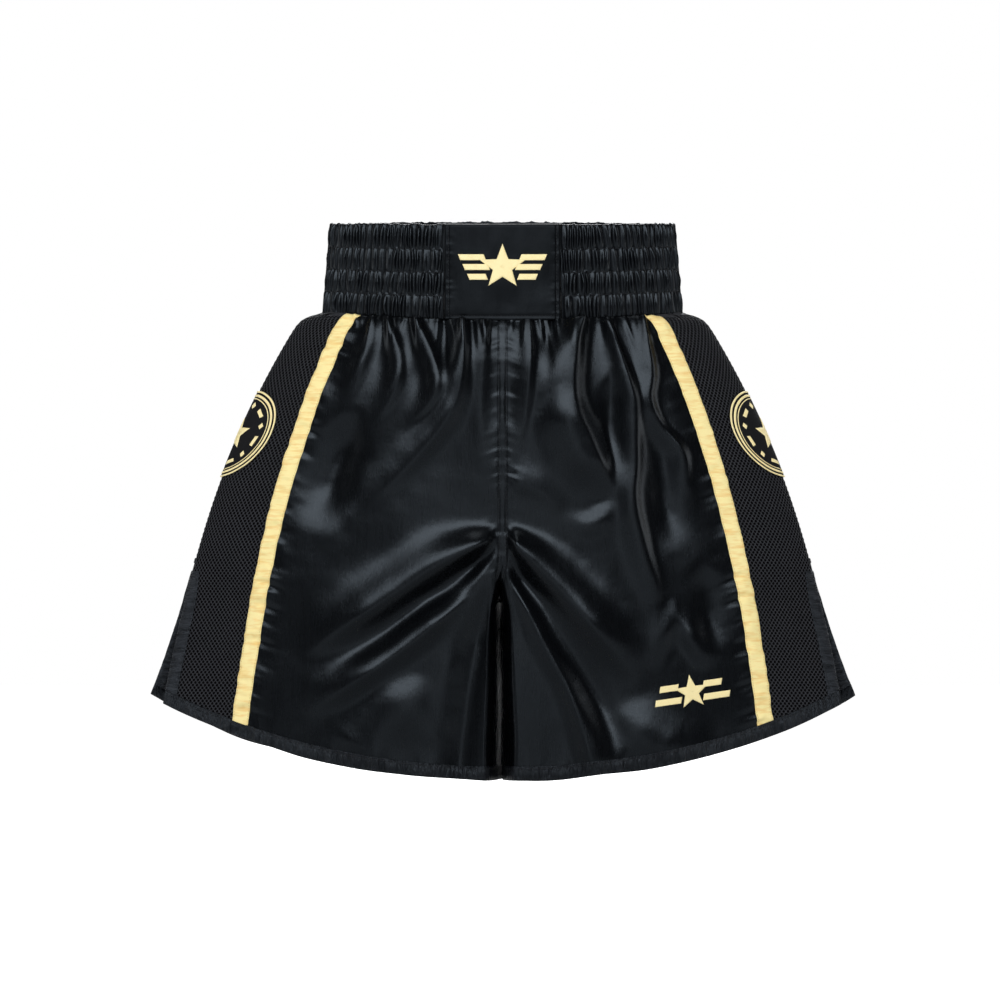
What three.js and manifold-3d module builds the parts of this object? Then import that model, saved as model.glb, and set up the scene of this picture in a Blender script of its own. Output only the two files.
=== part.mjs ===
// Boxing shorts held open at the waist, as on a hanger or a body form.
// Millimetres, +Z up. The front faces -Y and the wearer's left is +X.
// The origin is the centre of the waist opening, level with the rim.
import * as THREE from 'three';
import { TessellateModifier } from 'three/addons/modifiers/TessellateModifier.js';
import { mergeVertices } from 'three/addons/utils/BufferGeometryUtils.js';
import Module from 'manifold-3d';

// ---- Driving dimensions ----------------------------------------------------------------

// Waistband
const RIM_HALF_WIDTH = 173;
const RIM_HALF_DEPTH = 62;
const BAND_HEIGHT = 88; // at the sides
const BAND_DIP = 8; // how much deeper the band is at the centre
const BAND_FLARE_WIDTH = 7; // half width gained from rim to lower edge
const BAND_FLARE_DEPTH = 3;
const BAND_SHELL = 2.5; // gathered satin
const CENTRE_PANEL_WIDTH = 110.6;
const CENTRE_PANEL_SHELL = 2;
const ELASTIC_ROWS = 4;
const ELASTIC_WIDTH = 18;
const ELASTIC_SHELL = 1.2;
const LINING_SHELL = 1;

// Skirt and legs
const SHOULDER_HALF_WIDTH = 199; // just below the waistband
const HIP_HALF_DEPTH = 76;
const HEM_HALF_WIDTH = 338;
const HEM_HALF_DEPTH = 92;
const LENGTH = 553; // rim to hem at the centre
const HEM_RADIUS = 800;
const HEM_BAND = 13;
const CROTCH_DEPTH = 378; // rim to crotch point
const CROTCH_CURVE = 43; // height of the curve above the crotch point
const LEG_GAP = 3; // between the two inner legs
const INNER_ROUND_TOP = 14; // how wide the leg's inner corner is rounded
const INNER_ROUND_HEM = 46;
const CLOTH = 1.2; // modelled thickness of one panel

// Trim
const RIBBON_PLACE = 0.765; // share of the half width
const RIBBON_WIDTH = 16;
const RIBBON_SHELL = 0.8;
const BADGE_RADIUS = 47;
const BADGE_DEPTH = 209; // rim to badge centre
const BADGE_SHELL = 1;
const BADGE_GAP = 0.6; // wider than GAP, because the badge turns a tight corner
const SEAM_WIDTH = 10;
const SEAM_SHELL = 1;
const LABEL_WIDTH = 40;
const LABEL_HEIGHT = 26;
const LABEL_TOP = 22;
const LABEL_SHELL = 0.6;

// Side vents
const VENT_TOP = 339; // rim to the top of the slit
const VENT_OPEN = 18; // how far each edge of the slit stands off the middle at the hem
const BACK_TAIL_SPREAD = 18; // how much wider the back tail is at the hem
const FACING_WIDTH = 13;
const FACING_START = 9; // the facing shows this far below the top of the slit
const TACK_WIDTH = 12;
const TACK_HEIGHT = 4;
const TACK_SHELL = 1.4;

// Gaps between pieces
const GAP = 0.3;
const FOLD_GAP = 0.95; // between a tail and the panel that it swings on

// ---- Shape of the garment --------------------------------------------------------------

const SECTION_POWER = 0.65; // 0.5 is an ellipse, 1 is a lens with sharp sides
const NECK_LENGTH = 3.5; // how fast the cloth spreads below the band
const HIP_LENGTH = 25;
const FLAT_TAIL_LENGTH = 45; // below the vent top the side panels go from curved to flat

const clamp = THREE.MathUtils.clamp;
const lerp = THREE.MathUtils.lerp;
const smoothstep = THREE.MathUtils.smoothstep;

const BACK = 1;
const FRONT = -1;
const LEFT = 1;
const RIGHT = -1;

/** Depth below the rim of the hem's side corner. */
const HEM_SIDE = LENGTH - (HEM_RADIUS - Math.sqrt(HEM_RADIUS ** 2 - HEM_HALF_WIDTH ** 2));

/** 0 at the top of the vent, 1 at the hem's side corner. */
function ventShare(depth) {
  return clamp((depth - VENT_TOP) / (HEM_SIDE - VENT_TOP), 0, 1.3);
}

/** Half width of the garment at a depth below the rim. */
function halfWidth(depth, face) {
  if (depth <= BAND_HEIGHT) {
    return RIM_HALF_WIDTH + (BAND_FLARE_WIDTH * depth) / BAND_HEIGHT;
  }
  const drop = Math.max(0, depth - BAND_HEIGHT - GAP);
  const share = drop / (HEM_SIDE - BAND_HEIGHT);
  const round = 1 - Math.max(0, 1 - share) ** 2.6;
  const flare = (HEM_HALF_WIDTH - SHOULDER_HALF_WIDTH) * (round + share) * 0.5;
  const tuck = SHOULDER_HALF_WIDTH - RIM_HALF_WIDTH - BAND_FLARE_WIDTH;
  const spread = face === BACK ? BACK_TAIL_SPREAD * ventShare(depth) ** 2 : 0;
  return SHOULDER_HALF_WIDTH + flare + spread - tuck * Math.exp(-drop / NECK_LENGTH);
}

/** Half depth of the band, front to back, at a depth below the rim. */
function bandHalfDepth(depth) {
  return RIM_HALF_DEPTH + BAND_FLARE_DEPTH * Math.min(1, depth / BAND_HEIGHT);
}

/** Half depth of the garment below the band, which hangs from the band's dipping edge. */
function halfDepth(depth, atShare) {
  const drop = Math.max(0, depth - bandEdge(atShare) - GAP);
  const share = drop / (LENGTH - BAND_HEIGHT);
  const seam = bandHalfDepth(depth);
  const hip = (HIP_HALF_DEPTH - seam) * (1 - Math.exp(-drop / HIP_LENGTH));
  return seam + hip + (HEM_HALF_DEPTH - HIP_HALF_DEPTH) * share;
}

/** 0 where the two legs are one, rising to 1 at the crotch point and below. */
function legShare(depth) {
  return clamp((depth - CROTCH_DEPTH + CROTCH_CURVE) / CROTCH_CURVE, 0, 1);
}

/** How far the section still bulges at a share of the half width: 1 at the middle, 0 at the side. */
function sectionCurve(share, depth) {
  const curved = (value) => Math.max(0, 1 - value * value) ** SECTION_POWER;
  if (share <= RIBBON_PLACE) {
    return curved(share);
  }
  const flat = (curved(RIBBON_PLACE) * (1 - share)) / (1 - RIBBON_PLACE);
  const flatness = smoothstep(depth, VENT_TOP - 5, VENT_TOP - 5 + FLAT_TAIL_LENGTH);
  return lerp(curved(share), flat, flatness);
}

/** A point on the garment: share runs from the centre line or inseam, 0, to the side, 1. */
function garmentPoint(share, depth, face, side, inset, seamGap = GAP / 2) {
  const split = legShare(depth);
  const centre = Math.sqrt(1 - split * split);
  const inner = seamGap + (LEG_GAP / 2 + inset) * split;
  const outer = halfWidth(depth, face) - inset;
  const x = lerp(inner, outer, share);
  const roundShare = clamp((depth - CROTCH_DEPTH + CROTCH_CURVE) / (LENGTH - CROTCH_DEPTH), 0, 1);
  const round = lerp(INNER_ROUND_TOP, INNER_ROUND_HEM, roundShare) - inset * split;
  const along = clamp((x - inner) / round, 0, 1);
  const corner = centre + (1 - centre) * Math.sqrt(1 - (1 - along) ** 2);
  const sideShare = clamp((share - RIBBON_PLACE) / (1 - RIBBON_PLACE), 0, 1);
  const ventGap = VENT_OPEN * ventShare(depth) ** 1.2 * sideShare;
  const bulge = (halfDepth(depth, share) - inset) * corner * sectionCurve(share, depth);
  const y = seamGap + ventGap + bulge;
  return new THREE.Vector3(side * x, face * y, -depth);
}

/** Depth of the waistband's lower edge. */
function bandEdge(share) {
  return BAND_HEIGHT + BAND_DIP * (1 - share * share);
}

/** Depth of the hem's lower edge. */
function hemEdge(share, face) {
  const spread = face === BACK ? BACK_TAIL_SPREAD : 0;
  const across = share * (HEM_HALF_WIDTH + spread);
  return LENGTH - (HEM_RADIUS - Math.sqrt(HEM_RADIUS ** 2 - across ** 2));
}

const hemTop = (share, face) => hemEdge(share, face) - HEM_BAND;

/** Share of the half width that lies a distance outside the ribbon's middle. */
function ribbonShare(depth, face, offset) {
  return RIBBON_PLACE + offset / halfWidth(depth, face);
}

/** Where a tail folds: from the top of the vent to just outside the ribbon at the hem. */
function foldShare(depth, face, offset) {
  const start = halfWidth(VENT_TOP, face);
  const endDepth = hemEdge(RIBBON_PLACE, face);
  const end = ribbonShare(endDepth, face, RIBBON_WIDTH / 2 + 3) * halfWidth(endDepth, face);
  const x = lerp(start, end, (depth - VENT_TOP) / (endDepth - VENT_TOP));
  return (x + offset) / halfWidth(depth, face);
}

// ---- Solids ----------------------------------------------------------------------------

/** A closed sheet between two layers of a surface that is given by u, v and inset. */
function sheet(columns, rows, surface, outerInset, thickness) {
  const across = columns.length;
  const down = rows.length;
  const layerSize = across * down;
  const positions = [];
  for (const inset of [outerInset, outerInset + thickness]) {
    for (const v of rows) {
      for (const u of columns) {
        positions.push(...surface(u, v, inset).toArray());
      }
    }
  }
  const index = [];
  const quad = (a, b, c, d) => index.push(a, b, c, a, c, d);
  const at = (layer, row, column) => layer * layerSize + row * across + column;
  for (let row = 0; row < down - 1; row++) {
    for (let column = 0; column < across - 1; column++) {
      quad(at(0, row, column), at(0, row + 1, column), at(0, row + 1, column + 1), at(0, row, column + 1));
      quad(at(1, row, column), at(1, row, column + 1), at(1, row + 1, column + 1), at(1, row + 1, column));
    }
  }
  for (let row = 0; row < down - 1; row++) {
    quad(at(0, row, 0), at(1, row, 0), at(1, row + 1, 0), at(0, row + 1, 0));
    const last = across - 1;
    quad(at(0, row, last), at(0, row + 1, last), at(1, row + 1, last), at(1, row, last));
  }
  for (let column = 0; column < across - 1; column++) {
    quad(at(0, 0, column), at(0, 0, column + 1), at(1, 0, column + 1), at(1, 0, column));
    const last = down - 1;
    quad(at(0, last, column), at(1, last, column), at(1, last, column + 1), at(0, last, column + 1));
  }
  return outward(positions, index);
}

/** An indexed geometry whose faces point out, whichever way the surface was run over. */
function outward(positions, index) {
  let volume = 0;
  const corner = (i) => new THREE.Vector3().fromArray(positions, 3 * i);
  for (let i = 0; i < index.length; i += 3) {
    volume += corner(index[i]).dot(corner(index[i + 1]).cross(corner(index[i + 2])));
  }
  if (volume < 0) {
    for (let i = 0; i < index.length; i += 3) {
      [index[i + 1], index[i + 2]] = [index[i + 2], index[i + 1]];
    }
  }
  const geometry = new THREE.BufferGeometry();
  geometry.setAttribute('position', new THREE.Float32BufferAttribute(positions, 3));
  geometry.setIndex(index);
  return geometry;
}

/** Evenly spaced values from 0 to 1. */
function even(steps) {
  return Array.from({ length: steps + 1 }, (_, i) => i / steps);
}

const SETTLE_PASSES = 6; // an edge's depth depends on its share and the other way round

/** The surface of a panel whose sides are shares and whose ends are depths. */
function panelSurface(face, side, innerAt, outerAt, topAt, bottomAt) {
  return (u, v, inset) => {
    let depth = lerp(topAt(RIBBON_PLACE), bottomAt(RIBBON_PLACE), v);
    let share = 0;
    for (let pass = 0; pass < SETTLE_PASSES; pass++) {
      share = lerp(innerAt(depth), outerAt(depth), u);
      depth = lerp(topAt(share), bottomAt(share), v);
    }
    return garmentPoint(share, depth, face, side, inset);
  };
}

const group = new THREE.Group();

function add(name, geometry, material) {
  const mesh = new THREE.Mesh(geometry, material);
  mesh.name = name;
  group.add(mesh);
}

function finish(color, roughness) {
  return new THREE.MeshStandardMaterial({ color, roughness, metalness: 0 });
}

const satin = () => finish(0x1a1d24, 0.35);
const meshCloth = () => finish(0x1c1e22, 0.8);
const goldSatin = () => finish(0xf2dc95, 0.45);
const goldThread = () => finish(0xe9d27a, 0.5);
const lining = () => finish(0x22252b, 0.7);
const elastic = () => finish(0x2c2c2e, 0.85);
const badgeCloth = () => finish(0x101114, 0.75);
const labelCloth = () => finish(0xe8e6e0, 0.8);

// ---- Waistband -------------------------------------------------------------------------

/** A point on the band by its angle round the waist: 0 at the front, 90 degrees at the left side. */
function bandPoint(angle, depth, inset) {
  const width = halfWidth(Math.min(depth, BAND_HEIGHT), FRONT) - inset;
  const thick = bandHalfDepth(depth) - inset;
  const cos = Math.cos(angle);
  const y = -thick * Math.sign(cos) * Math.abs(cos) ** (2 * SECTION_POWER);
  return new THREE.Vector3(width * Math.sin(angle), y, -depth);
}

/** The angles of a band's columns: its two ends and every whole step between them. */
function bandAngles(startAngle, endAngle) {
  const angles = [startAngle];
  for (let step = Math.ceil(startAngle / WAIST_STEP); step * WAIST_STEP < endAngle; step++) {
    const angle = step * WAIST_STEP;
    if (Math.min(angle - startAngle, endAngle - angle) > WAIST_STEP / 4) {
      angles.push(angle);
    }
  }
  return [...angles, endAngle];
}

function bandSheet([startAngle, endAngle], topAt, bottomAt, downSteps, inset, thickness) {
  const surface = (angle, v, layer) => {
    const share = Math.sin(angle);
    return bandPoint(angle, lerp(topAt(share), bottomAt(share), v), layer);
  };
  return sheet(bandAngles(startAngle, endAngle), even(downSteps), surface, inset, thickness);
}

const PANEL_EDGE_ANGLE = Math.asin(CENTRE_PANEL_WIDTH / 2 / RIM_HALF_WIDTH);
const GAP_ANGLE = GAP / RIM_HALF_WIDTH;
const SIDE_ANGLE = Math.PI / 2;
const SIDE_GAP_ANGLE = 0.012; // opens about a GAP between the pieces that meet at the side
const FULL_TURN = 2 * Math.PI;
const WAIST_STEP = Math.PI / 28; // between two columns, the same in every layer
const elasticInset = BAND_SHELL + GAP;
const liningInset = elasticInset + ELASTIC_SHELL + GAP;
const labelInset = liningInset + LINING_SHELL + GAP;
const rim = () => 0;

function addWaistband() {
  const panel = [-PANEL_EDGE_ANGLE, PANEL_EDGE_ANGLE];
  const leftFront = [PANEL_EDGE_ANGLE + GAP_ANGLE, SIDE_ANGLE - SIDE_GAP_ANGLE];
  const rightFront = [-leftFront[1], -leftFront[0]];
  const front = [rightFront[0], leftFront[1]];
  const back = [SIDE_ANGLE + SIDE_GAP_ANGLE, 3 * SIDE_ANGLE - SIDE_GAP_ANGLE];
  const shells = [
    ['waistband_center_panel', panel, CENTRE_PANEL_SHELL],
    ['waistband_front_left', leftFront, BAND_SHELL],
    ['waistband_front_right', rightFront, BAND_SHELL],
    ['waistband_back', back, BAND_SHELL],
  ];
  for (const [name, span, thickness] of shells) {
    add(name, bandSheet(span, rim, bandEdge, 4, 0, thickness), satin());
  }

  const pitch = BAND_HEIGHT / ELASTIC_ROWS;
  const loop = [leftFront[0], FULL_TURN - leftFront[0]];
  for (let row = 0; row < ELASTIC_ROWS; row++) {
    const top = () => pitch * (row + 0.5) - ELASTIC_WIDTH / 2;
    const bottom = () => pitch * (row + 0.5) + ELASTIC_WIDTH / 2;
    add(`elastic_row_${row + 1}`, bandSheet(loop, top, bottom, 1, elasticInset, ELASTIC_SHELL), elastic());
  }

  for (const [faceName, span] of [['front', front], ['back', back]]) {
    const sheetGeometry = bandSheet(span, rim, bandEdge, 3, liningInset, LINING_SHELL);
    add(`waistband_lining_${faceName}`, sheetGeometry, lining());
  }

  const labelAngle = Math.asin(LABEL_WIDTH / 2 / RIM_HALF_WIDTH);
  const labelSpan = [Math.PI - labelAngle, Math.PI + labelAngle];
  const labelTop = () => LABEL_TOP;
  const labelBottom = () => LABEL_TOP + LABEL_HEIGHT;
  add('size_label', bandSheet(labelSpan, labelTop, labelBottom, 1, labelInset, LABEL_SHELL), labelCloth());
}

// ---- Panels, ribbons and hems ----------------------------------------------------------

const faces = [['front', FRONT], ['back', BACK]];
const sides = [['left', LEFT], ['right', RIGHT]];

/** Columns that are close together round the leg's inner corner and even beyond it. */
function satinColumns() {
  const corner = [0, 0.15, 0.4, 0.7, 1].map((step) => 0.2 * step * step);
  return [...corner, ...even(7).slice(1).map((step) => lerp(0.2, 1, step))];
}

/** Rows that are closer together just below the band and round the crotch, with one at the vent top. */
function panelRows(face) {
  const top = bandEdge(0.5) + GAP;
  const bottom = hemTop(0.5, face) - GAP;
  const drops = [3, 8, 20, 45, 80, 120, 165, 210].map((drop) => top + drop);
  const crotch = [1, 0.6, 0.25, 0].map((share) => CROTCH_DEPTH - share * CROTCH_CURVE);
  const below = even(7).slice(1, -1).map((share) => lerp(CROTCH_DEPTH, bottom, share));
  const depths = [...drops, ...crotch, ...below];
  const sideTop = bandEdge(1) + GAP;
  const ventRow = (VENT_TOP - sideTop) / (hemTop(1, face) - GAP - sideTop);
  const rows = depths.map((depth) => (depth - top) / (bottom - top));
  return [0, ...rows, ventRow, 1].sort((one, other) => one - other);
}

function addPanels(faceName, face, sideName, side) {
  const ribbonMiddle = (offset) => (depth) => ribbonShare(depth, face, offset);
  const underBand = (share) => bandEdge(share) + GAP;
  const aboveHem = (share) => hemTop(share, face) - GAP;
  const rows = panelRows(face);

  const satinSurface = panelSurface(
    face, side, () => 0, ribbonMiddle(-GAP / 2), underBand, aboveHem,
  );
  const satinName = `${faceName}_satin_${sideName}`;
  add(satinName, sheet(satinColumns(), rows, satinSurface, 0, CLOTH), satin());

  const outerEdge = (depth) => (depth < VENT_TOP ? 1 : foldShare(depth, face, -FOLD_GAP / 2));
  const meshSurface = panelSurface(face, side, ribbonMiddle(GAP / 2), outerEdge, underBand, aboveHem);
  const meshColumns = [0, 0.2, 0.4, 0.6, 0.78, 0.92, 1];
  add(`mesh_${faceName}_${sideName}`, sheet(meshColumns, rows, meshSurface, 0, CLOTH), meshCloth());

  const half = RIBBON_WIDTH / 2;
  const ribbonSurface = panelSurface(
    face, side, ribbonMiddle(-half), ribbonMiddle(half), underBand, aboveHem,
  );
  const ribbon = sheet(even(2), rows, ribbonSurface, -GAP - RIBBON_SHELL, RIBBON_SHELL);
  add(`ribbon_${faceName}_${sideName}`, ribbon, goldSatin());

  const foldEdge = (depth) => foldShare(depth, face, -FOLD_GAP / 2);
  const bottom = (share) => hemEdge(share, face);
  const top = (share) => hemTop(share, face);
  const hemSurface = panelSurface(face, side, () => 0, foldEdge, top, bottom);
  const hemColumns = [...satinColumns().slice(0, 5), ...even(8).slice(1).map((step) => lerp(0.2, 1, step))];
  add(`hem_${faceName}_${sideName}`, sheet(hemColumns, even(1), hemSurface, 0, CLOTH), satin());
}

/** The corner of the side panel between the slit and the ribbon, which swings out. */
function addTail(faceName, face, sideName, side) {
  const fold = (depth) => foldShare(depth, face, FOLD_GAP / 2);
  const facingEdge = (offset) => (depth) => 1 - (FACING_WIDTH - offset) / halfWidth(depth, face);
  const top = (share) => hemTop(share, face);
  const bottom = (share) => hemEdge(share, face);
  const aboveHem = (share) => hemTop(share, face) - GAP;
  const name = `${faceName}_${sideName}`;

  const facingInner = (depth) => Math.max(foldShare(depth, face, FOLD_GAP), facingEdge(0)(depth));
  const facingTop = () => VENT_TOP + FACING_START;
  const facingSurface = panelSurface(face, side, facingInner, () => 1, facingTop, aboveHem);
  add(`vent_facing_${name}`, sheet(even(2), even(16), facingSurface, 0, CLOTH), satin());

  let tailTop = VENT_TOP;
  while (facingEdge(-GAP)(tailTop) - fold(tailTop) < 2 / halfWidth(tailTop, face)) {
    tailTop += 1;
  }
  const meshSurface = panelSurface(face, side, fold, facingEdge(-GAP), () => tailTop, aboveHem);
  add(`mesh_tail_${name}`, sheet(even(4), even(12), meshSurface, 0, CLOTH), meshCloth());

  const hemSurface = panelSurface(face, side, fold, () => 1, top, bottom);
  add(`hem_tail_${name}`, sheet(even(5), even(1), hemSurface, 0, CLOTH), satin());
}

// ---- Seams, tacks, badges and emblems --------------------------------------------------

function addSeams() {
  for (const [faceName, face] of faces) {
    const top = bandEdge(0) + GAP;
    const bottom = hemTop(0, face) - GAP;
    const crotchRow = (CROTCH_DEPTH - CROTCH_CURVE - top) / (bottom - top);
    const rows = panelRows(face);
    const surface = (u, v, inset) => {
      const across = (u - 0.5) * SEAM_WIDTH;
      const depth = lerp(top, bottom, v);
      const share = Math.abs(across) / halfWidth(depth, face);
      const y = (halfDepth(depth, share) - inset) * sectionCurve(share, depth) + GAP / 2;
      return new THREE.Vector3(across, face * y, -depth);
    };
    const above = rows.filter((row) => row < crotchRow);
    add(`center_${faceName}_seam`, sheet(even(2), above, surface, -GAP - SEAM_SHELL, SEAM_SHELL), satin());
  }
  for (const [sideName, side] of sides) {
    const top = CROTCH_DEPTH + 4;
    const bottom = hemTop(0, FRONT) - GAP;
    const surface = (u, v, inset) => {
      const x = GAP / 2 + LEG_GAP / 2 + inset;
      return new THREE.Vector3(side * x, (u - 0.5) * SEAM_WIDTH, -lerp(top, bottom, v));
    };
    add(`inseam_${sideName}`, sheet(even(2), even(6), surface, CLOTH + GAP, SEAM_SHELL), satin());
  }
}

/** Share of the half width that lies an arc length in from the side, along the section. */
function shareFromSide(arc, depth, face, inset) {
  const STEPS = 400;
  const REACH = 0.5; // of the half width, more than a badge covers
  let last = garmentPoint(1, depth, face, LEFT, inset, 0);
  let length = 0;
  for (let step = 1; step <= STEPS; step++) {
    const share = 1 - (REACH * step * step) / (STEPS * STEPS);
    const next = garmentPoint(share, depth, face, LEFT, inset, 0);
    length += next.distanceTo(last);
    if (length >= arc) {
      return share;
    }
    last = next;
  }
  return 1 - REACH;
}

/** A round badge folded over the side, half on the front and half on the back. */
function addBadges() {
  const slopeStep = 20;
  const rise = halfWidth(BADGE_DEPTH + slopeStep, FRONT) - halfWidth(BADGE_DEPTH - slopeStep, FRONT);
  const slope = Math.atan2(rise, 2 * slopeStep);
  const RINGS = 6;
  const SPOKES = 32;
  for (const [sideName, side] of sides) {
    const positions = [];
    for (const inset of [-BADGE_GAP - BADGE_SHELL, -BADGE_GAP]) {
      for (let ring = 0; ring <= RINGS; ring++) {
        const radius = (BADGE_RADIUS * ring) / RINGS;
        for (let spoke = 0; spoke < (ring === 0 ? 1 : SPOKES); spoke++) {
          const angle = (FULL_TURN * spoke) / SPOKES;
          const inward = radius * Math.cos(angle);
          const along = radius * Math.sin(angle);
          const face = inward >= 0 ? FRONT : BACK;
          const depth = BADGE_DEPTH + along * Math.cos(slope) + Math.abs(inward) * Math.sin(slope);
          const arc = Math.abs(inward) * Math.cos(slope);
          const share = arc < 1e-6 ? 1 : shareFromSide(arc, depth, face, inset);
          positions.push(...garmentPoint(share, depth, face, side, inset, 0).toArray());
        }
      }
    }
    const layer = 1 + RINGS * SPOKES;
    const at = (top, ring, spoke) => top * layer + (ring === 0 ? 0 : 1 + (ring - 1) * SPOKES + (spoke % SPOKES));
    const index = [];
    for (let spoke = 0; spoke < SPOKES; spoke++) {
      for (let ring = 0; ring < RINGS; ring++) {
        const outerRing = [at(0, ring + 1, spoke), at(0, ring + 1, spoke + 1)];
        const innerRing = [at(1, ring + 1, spoke), at(1, ring + 1, spoke + 1)];
        index.push(at(0, ring, spoke), outerRing[0], outerRing[1]);
        index.push(at(1, ring, spoke), innerRing[1], innerRing[0]);
        if (ring > 0) {
          index.push(at(0, ring, spoke), outerRing[1], at(0, ring, spoke + 1));
          index.push(at(1, ring, spoke), at(1, ring, spoke + 1), innerRing[1]);
        }
      }
      const edge = [at(0, RINGS, spoke), at(0, RINGS, spoke + 1), at(1, RINGS, spoke), at(1, RINGS, spoke + 1)];
      index.push(edge[0], edge[2], edge[3], edge[0], edge[3], edge[1]);
    }
    add(`side_badge_${sideName}`, outward(positions, index), badgeCloth());
  }
}

/** A short row of dense stitches across the top of each slit. */
function addTacks() {
  for (const [sideName, side] of sides) {
    const surface = (u, v, inset) => {
      const arc = Math.abs(u - 0.5) * TACK_WIDTH;
      const face = u < 0.5 ? FRONT : BACK;
      const depth = VENT_TOP - TACK_HEIGHT * (1.5 - v);
      const share = arc < 1e-6 ? 1 : shareFromSide(arc, depth, face, inset);
      return garmentPoint(share, depth, face, side, inset, 0);
    };
    add(`bar_tack_${sideName}`, sheet(even(8), even(1), surface, -BADGE_GAP - TACK_SHELL, TACK_SHELL), satin());
  }
}

const wasm = await Module();
wasm.setup();

function toSolid(geometry) {
  const bare = geometry.clone();
  bare.deleteAttribute('normal');
  bare.deleteAttribute('uv');
  const merged = mergeVertices(bare, 1e-4);
  const vertProperties = new Float32Array(merged.attributes.position.array);
  const triVerts = new Uint32Array(merged.index.array);
  return new wasm.Manifold(new wasm.Mesh({ numProp: 3, vertProperties, triVerts }));
}

function toGeometry(solid) {
  const { vertProperties, triVerts } = solid.getMesh();
  const geometry = new THREE.BufferGeometry();
  geometry.setAttribute('position', new THREE.BufferAttribute(new Float32Array(vertProperties), 3));
  geometry.setIndex(new THREE.BufferAttribute(new Uint32Array(triVerts), 1));
  return geometry;
}

/** A plain five-pointed star between two stacks of bars, all one flat piece. */
function starAndBars(starRadius, barLengths, barHeight, barPitch, thickness) {
  const STAR_INNER = 0.42;
  const star = Array.from({ length: 10 }, (_, i) => {
    const radius = i % 2 === 0 ? starRadius : starRadius * STAR_INNER;
    const angle = Math.PI / 2 + (i * Math.PI) / 5;
    return new THREE.Vector2(radius * Math.cos(angle), radius * Math.sin(angle));
  });
  const options = { depth: thickness, bevelEnabled: false };
  let solid = toSolid(new THREE.ExtrudeGeometry(new THREE.Shape(star), options));
  barLengths.forEach((length, row) => {
    const middle = (barLengths.length - 1) / 2;
    const bar = new THREE.BoxGeometry(2 * length, barHeight, thickness);
    bar.translate(0, (middle - row) * barPitch, thickness / 2);
    solid = solid.add(toSolid(bar));
  });
  return toGeometry(solid);
}

/** Lays a flat piece, drawn in X and Y and standing up in Z, on the front of the garment. */
function layOnFront(flat, x, depth, tilt) {
  const geometry = mergeVertices(new TessellateModifier(BEND_STEP, 12).modify(flat), 1e-4);
  geometry.rotateZ(tilt);
  const places = geometry.attributes.position;
  for (let i = 0; i < places.count; i++) {
    const across = x + places.getX(i);
    const down = depth - places.getY(i);
    const share = Math.abs(across) / halfWidth(down, FRONT);
    const point = garmentPoint(share, down, FRONT, LEFT, 0);
    places.setXYZ(i, across, point.y - GAP - places.getZ(i), -down);
  }
  return outward(Array.from(places.array), Array.from(geometry.index.array));
}

const WAIST_EMBLEM = { star: 23, bars: [43, 37, 31], height: 5, pitch: 10, x: 0, depth: 42, tilt: 0 };
const LEG_EMBLEM = { star: 17, bars: [38, 38], height: 5, pitch: 12, x: 188, depth: 466, tilt: 0.14 };
const EMBLEM_SHELL = 0.8;
const BEND_STEP = 10; // longest edge of a flat piece before it is bent round the garment

function addEmblems() {
  for (const [name, emblem] of [['waist_emblem', WAIST_EMBLEM], ['leg_emblem', LEG_EMBLEM]]) {
    const flat = starAndBars(emblem.star, emblem.bars, emblem.height, emblem.pitch, EMBLEM_SHELL);
    add(name, layOnFront(flat, emblem.x, emblem.depth, emblem.tilt), goldThread());
  }
}

addWaistband();
for (const [faceName, face] of faces) {
  for (const [sideName, side] of sides) {
    addPanels(faceName, face, sideName, side);
    addTail(faceName, face, sideName, side);
  }
}
addSeams();
addBadges();
addTacks();
addEmblems();

export default group;
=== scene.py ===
import math

import bmesh
import bpy
import numpy as np
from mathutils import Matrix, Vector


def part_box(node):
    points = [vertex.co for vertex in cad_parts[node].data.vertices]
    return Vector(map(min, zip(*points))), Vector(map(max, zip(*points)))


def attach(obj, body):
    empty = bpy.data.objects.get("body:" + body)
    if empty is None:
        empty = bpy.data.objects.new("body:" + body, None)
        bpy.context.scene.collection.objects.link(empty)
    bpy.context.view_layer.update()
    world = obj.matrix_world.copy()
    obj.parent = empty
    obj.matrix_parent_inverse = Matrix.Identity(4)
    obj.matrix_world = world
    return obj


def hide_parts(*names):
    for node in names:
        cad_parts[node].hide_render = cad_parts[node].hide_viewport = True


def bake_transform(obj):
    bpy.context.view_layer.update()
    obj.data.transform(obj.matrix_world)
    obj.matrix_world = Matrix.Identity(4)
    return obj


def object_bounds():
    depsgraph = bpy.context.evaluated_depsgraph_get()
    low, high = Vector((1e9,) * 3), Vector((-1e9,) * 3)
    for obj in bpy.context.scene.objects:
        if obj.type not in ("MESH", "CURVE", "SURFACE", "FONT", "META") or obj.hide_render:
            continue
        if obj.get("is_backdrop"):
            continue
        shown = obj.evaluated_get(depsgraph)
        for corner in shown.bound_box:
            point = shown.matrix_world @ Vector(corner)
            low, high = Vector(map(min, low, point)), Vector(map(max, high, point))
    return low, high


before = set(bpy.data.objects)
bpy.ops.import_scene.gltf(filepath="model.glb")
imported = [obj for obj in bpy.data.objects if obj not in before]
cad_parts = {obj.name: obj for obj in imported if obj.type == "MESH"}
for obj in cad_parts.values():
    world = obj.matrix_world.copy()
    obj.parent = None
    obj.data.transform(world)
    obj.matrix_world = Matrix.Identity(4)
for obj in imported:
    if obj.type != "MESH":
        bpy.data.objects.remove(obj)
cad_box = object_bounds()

# Lengths are in millimetres until make_mesh turns them into metres. A place on the skirt is
# given by its share of the half width, 0 at the centre line or inseam and 1 at the side, and by
# its depth below the rim. Near the side it is given by w instead, the distance along the cloth
# from the side's edge. The front faces -Y and the wearer's left is +X.
MM = 0.001
FRONT, BACK, LEFT, RIGHT = -1, 1, 1, -1
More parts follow.
